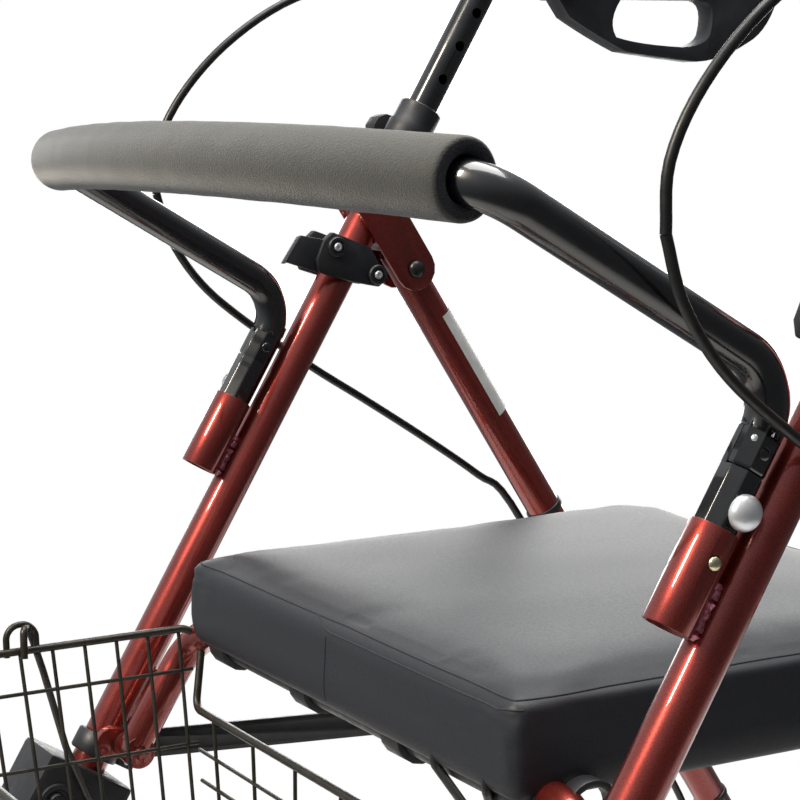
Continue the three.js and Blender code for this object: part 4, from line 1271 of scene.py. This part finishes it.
def seat_seams(piece):
    """The seam round the top, the second row in front that starts left of the middle, and the panel joint."""
    around = [(x, y, SEAM_Z) for x, y in cushion_outline(2, spacing=4)]
    sewn_line(piece, "seat_seam", around, 0.55, THREAD_AND_GROOVE_SHADE, closed=True)
    front = SEAT_FRONT + 1
    second = [(x, front, SEAM_Z - second_row_drop(x)) for x in range(-22, 168, 4)]
    second += [
        (x, y, SEAM_Z - 3.4) for x, y in cushion_outline(2, spacing=3)
        if x > SEAT_W / 2 - SEAT_CORNER_R and y < SEAT_FRONT + SEAT_CORNER_R]
    sewn_line(piece, "seat_second_row", second, 0.5, THREAD_AND_GROOVE_SHADE)
    panel = [(PANEL_JOINT_X, front, z) for z in range(SEAT_BOTTOM + 1, SEAM_Z - 4, 3)]
    sewn_line(piece, "seat_panel_joint", panel, 0.4, VINYL)


def second_row_drop(x):
    """How far, in mm, the second row runs below the seam: it leaves the seam and settles beside it."""
    share = max(0.0, min(1.0, (x + 22) / 24))
    return 4.6 * share * share * (3 - 2 * share)


def saddle_loops(tag, sign):
    """The pan's outer saddle, an arch over the support tube's bend."""
    outline = []
    for radius, turn in ((SADDLE_OUTER_R, 1), (SADDLE_INNER_R, -1)):
        for k in range(15):
            angle = math.radians(90 + turn * (-115 + 230 * k / 14))
            outline.append(mm(0, SADDLE_Y + radius * math.cos(angle), SADDLE_Z + radius * math.sin(angle)))
    x = sign * SADDLE_X
    plate_piece(f"saddle_loop_{tag}", outline, x - 5, x + 5, PLASTIC, "seat", 0.8)


def saddle_sleeve():
    """The black sleeve round the straight run of the support tube, under the cushion's front."""
    run = [mm(SLEEVE_END_X - 4 * k, RAIL_CORNER_Y, RAIL_Z) for k in range(90)]
    radii = [TUBE_R + 0.5] + [TUBE_R + 1.0] * (len(run) - 2) + [TUBE_R + 0.5]
    tube_piece("saddle_sleeve", run, radii, PLASTIC, "seat", 32)


def seat_bail():
    """The wire bail that hangs under the seat's front edge."""
    points = [
        mm(107, -197, 417), mm(107, -197, 410), mm(84, -160, 366),
        mm(96, -152, 352), mm(154, -197, 410), mm(154, -197, 417),
    ]
    tube_piece("seat_bail", bent_path(points, [4, 8, 8, 4]), 2.3, SATIN, "seat", 14)


# ---------------------------------------------------------------- basket


def basket_point(x, y, z):
    """Where the tapered basket's wall carries a point that is named by its place at the top."""
    drop = (BASKET_TOP - z) / (BASKET_TOP - BASKET_BOTTOM)
    across = x - math.copysign(BASKET_TAPER * drop, x) * (abs(x) / BASKET_HALF_W)
    middle = (BASKET_FRONT_Y + BASKET_REAR_Y) / 2
    half = (BASKET_REAR_Y - BASKET_FRONT_Y) / 2
    along = y - BASKET_END_TAPER * drop * (y - middle) / half
    return mm(across, along, z)


def basket():
    shape = bmesh.new()
    w, front, rear = BASKET_HALF_W - 2, BASKET_FRONT_Y + 3, BASKET_REAR_Y - 3
    low = BASKET_BOTTOM + 2
    back = rear + RIM_OVERHANG
    rim = [
        basket_point(-w, front, BASKET_TOP - 2), basket_point(-w, back, BASKET_TOP - 2),
        basket_point(-w, rear, BASKET_REAR_TOP), basket_point(w, rear, BASKET_REAR_TOP),
        basket_point(w, back, BASKET_TOP - 2), basket_point(w, front, BASKET_TOP - 2),
    ]
    add_tube(shape, bent_path(rim, [12, 9, 9, 12]), 2.3, 12)
    add_tube(shape, bent_path([rim[-1] - mm(14, 0, 0), rim[-1], rim[-1] + mm(0, 14, 0)], [10]), 2.3, 12)
    add_tube(shape, [basket_point(side * w, front, BASKET_TOP - 2) for side in (-1, 1)], 2.3, 12)
    wire = 1.15
    for z in (388, 347, 306):
        ends = [basket_point(x, y, z) for x, y in ((-w, rear), (-w, front), (w, front), (w, rear))]
        add_tube(shape, bent_path(ends, [6, 6]), wire, 8)
    for z in (343, 326, 300):
        add_tube(shape, [basket_point(-w, rear, z), basket_point(w, rear, z)], wire, 8)
    for k in range(11):
        y = rear - 7 - k * 19.3
        ends = [
            basket_point(-w, y, BASKET_TOP - 3), basket_point(-w, y, low), basket_point(w, y, low),
            basket_point(w, y, BASKET_TOP - 3),
        ]
        add_tube(shape, bent_path(ends, [8, 8]), wire, 8)
    for k in range(-3, 4):
        x = k * 58
        ends = [
            basket_point(x, front, BASKET_TOP - 3), basket_point(x, front, low), basket_point(x, rear, low),
            basket_point(x, rear, BASKET_REAR_TOP - 1),
        ]
        add_tube(shape, bent_path(ends, [8, 8]), wire, 8)
    piece = finish_piece("wire_basket", shape, WIRE, "front_frame", 0)
    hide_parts("basket")


def basket_hooks(tag, sign):
    """The arch on the rim, and the rod that hangs the basket from the leg."""
    x = sign * (BASKET_HALF_W - 1)
    arch = [mm(x, -300.5, 408), mm(x, -300.5, 426), mm(x, -283, 426), mm(x, -283, 408)]
    tube_piece(
        f"basket_arch_{tag}", bent_path(arch, [8.4, 8.4]), 1.9, WIRE, "front_frame", 12)
    rod = [
        mm(sign * 194, -293, 408), mm(sign * 196, -292, 424), mm(sign * 203, -287, 424),
        mm(sign * 207, -278, 396), mm(sign * 213, -264.4, 347), mm(sign * 218, -250, 312),
        mm(sign * 223, -244, 302),
    ]
    tube_piece(
        f"basket_rod_{tag}", bent_path(rod, [3.4, 3.4, 20, 40, 40, 6]), 2.1, WIRE, "front_frame", 12)


# ---------------------------------------------------------------- stage, lights and camera


def floor():
    shape = bmesh.new()
    corners = [
        shape.verts.new((x * FLOOR_GONE, y * FLOOR_GONE, 0)) for x, y in ((-1, -1), (1, -1), (1, 1), (-1, 1))]
    shape.faces.new(corners)
    mesh = bpy.data.meshes.new("floor")
    shape.to_mesh(mesh)
    shape.free()
    mesh.materials.append(floor_paint())
    made = bpy.data.objects.new("floor", mesh)
    bpy.context.scene.collection.objects.link(made)


def area_light(name, place, target, width, height, power, colour=(1, 1, 1)):
    data = bpy.data.lights.new(name, "AREA")
    data.shape = "RECTANGLE"
    data.size = width
    data.size_y = height
    data.energy = power
    data.color = colour
    light = bpy.data.objects.new(name, data)
    light.location = place
    light.rotation_euler = (Vector(target) - Vector(place)).to_track_quat("-Z", "Y").to_euler()
    bpy.context.scene.collection.objects.link(light)


def lights():
    middle = (0, 0, 0.5)
    area_light("key", (0.15, -2.3, 2.5), middle, 0.42, 1.2, 100, (1.0, 0.90, 0.76))
    area_light("wall", (-2.5, 1.5, 0.95), (0, 0, 0.5), 3.2, 1.5, 62, (1.0, 0.99, 0.96))
    area_light("top", (-0.3, 0.1, 3.0), middle, 2.0, 2.0, 88, (1.0, 0.99, 0.96))


def world():
    """White behind the object. What the object reflects is bright in front and above, dim elsewhere."""
    made = bpy.data.worlds.new("world")
    made.use_nodes = True
    tree = made.node_tree
    seen = tree.nodes["Background"]
    seen.inputs["Color"].default_value = (1, 1, 1, 1)
    seen.inputs["Strength"].default_value = 1.0
    lit = tree.nodes.new("ShaderNodeBackground")
    lit.inputs["Color"].default_value = (0.94, 0.97, 1.0, 1)
    place = tree.nodes.new("ShaderNodeTexCoord")
    toward = tree.nodes.new("ShaderNodeVectorMath")
    toward.operation = "DOT_PRODUCT"
    toward.inputs[1].default_value = Vector((-0.45, -0.35, 0.82)).normalized()
    tree.links.new(place.outputs["Generated"], toward.inputs[0])
    strength = tree.nodes.new("ShaderNodeMapRange")
    strength.interpolation_type = "SMOOTHSTEP"
    strength.inputs["From Min"].default_value = -0.45
    strength.inputs["From Max"].default_value = 0.9
    strength.inputs["To Min"].default_value = 0.10
    strength.inputs["To Max"].default_value = 0.62
    tree.links.new(toward.outputs["Value"], strength.inputs["Value"])
    tree.links.new(strength.outputs["Result"], lit.inputs["Strength"])
    path = tree.nodes.new("ShaderNodeLightPath")
    mix = tree.nodes.new("ShaderNodeMixShader")
    tree.links.new(path.outputs["Is Camera Ray"], mix.inputs["Fac"])
    tree.links.new(lit.outputs["Background"], mix.inputs[1])
    tree.links.new(seen.outputs["Background"], mix.inputs[2])
    tree.links.new(mix.outputs["Shader"], tree.nodes["World Output"].inputs["Surface"])
    bpy.context.scene.world = made
    bpy.context.scene.view_settings.view_transform = "Standard"


def camera():
    azimuth, elevation, roll = (math.radians(a) for a in (62.94, 9.13, -1.45))
    ahead = Vector((
        -math.sin(azimuth) * math.cos(elevation), math.cos(azimuth) * math.cos(elevation),
        -math.sin(elevation)))
    level = Vector((math.cos(azimuth), math.sin(azimuth), 0))
    above = level.cross(ahead)
    right = level * math.cos(roll) + above * math.sin(roll)
    up = above * math.cos(roll) - level * math.sin(roll)
    data = bpy.data.cameras.new("camera")
    data.sensor_width = 36
    data.lens = 101.17
    data.shift_x = 0.0438
    data.shift_y = 0.0622
    data.clip_start = 0.05
    data.clip_end = 100
    made = bpy.data.objects.new("camera", data)
    turn = Matrix((right, up, -ahead)).transposed().to_4x4()
    made.matrix_world = Matrix.Translation((0.9860, -0.6782, 0.7188)) @ turn
    bpy.context.scene.collection.objects.link(made)
    bpy.context.scene.camera = made


# ---------------------------------------------------------------- the scene

camera()
brake_cables()
world()
lights()
floor()
dress_cad_nodes()
for side_tag, side_sign in SIDES:
    handle_tube(side_tag, side_sign)
    grip(side_tag, side_sign)
    leg_collar(side_tag, side_sign)
    lever_details(side_tag, side_sign)
    backrest_stub(side_tag, side_sign)
    lock_pin(side_tag, side_sign)
    snap_button(side_tag, side_sign)
    bar_rivet(side_tag, side_sign)
    gusset(side_tag, side_sign)
    socket_welds(side_tag, side_sign)
    leg_clamp(side_tag, side_sign)
    link_bolts(side_tag, side_sign)
    caster_hardware(side_tag, side_sign)
    cable_clips(side_tag, side_sign)
    wheels(side_tag, side_sign)
    saddle_loops(side_tag, side_sign)
    basket_hooks(side_tag, side_sign)
backrest_bar()
foam_sleeve()
rear_label("R", -1)
seat_support_tube()
saddle_sleeve()
seat_cushion()
seat_bail()
basket()
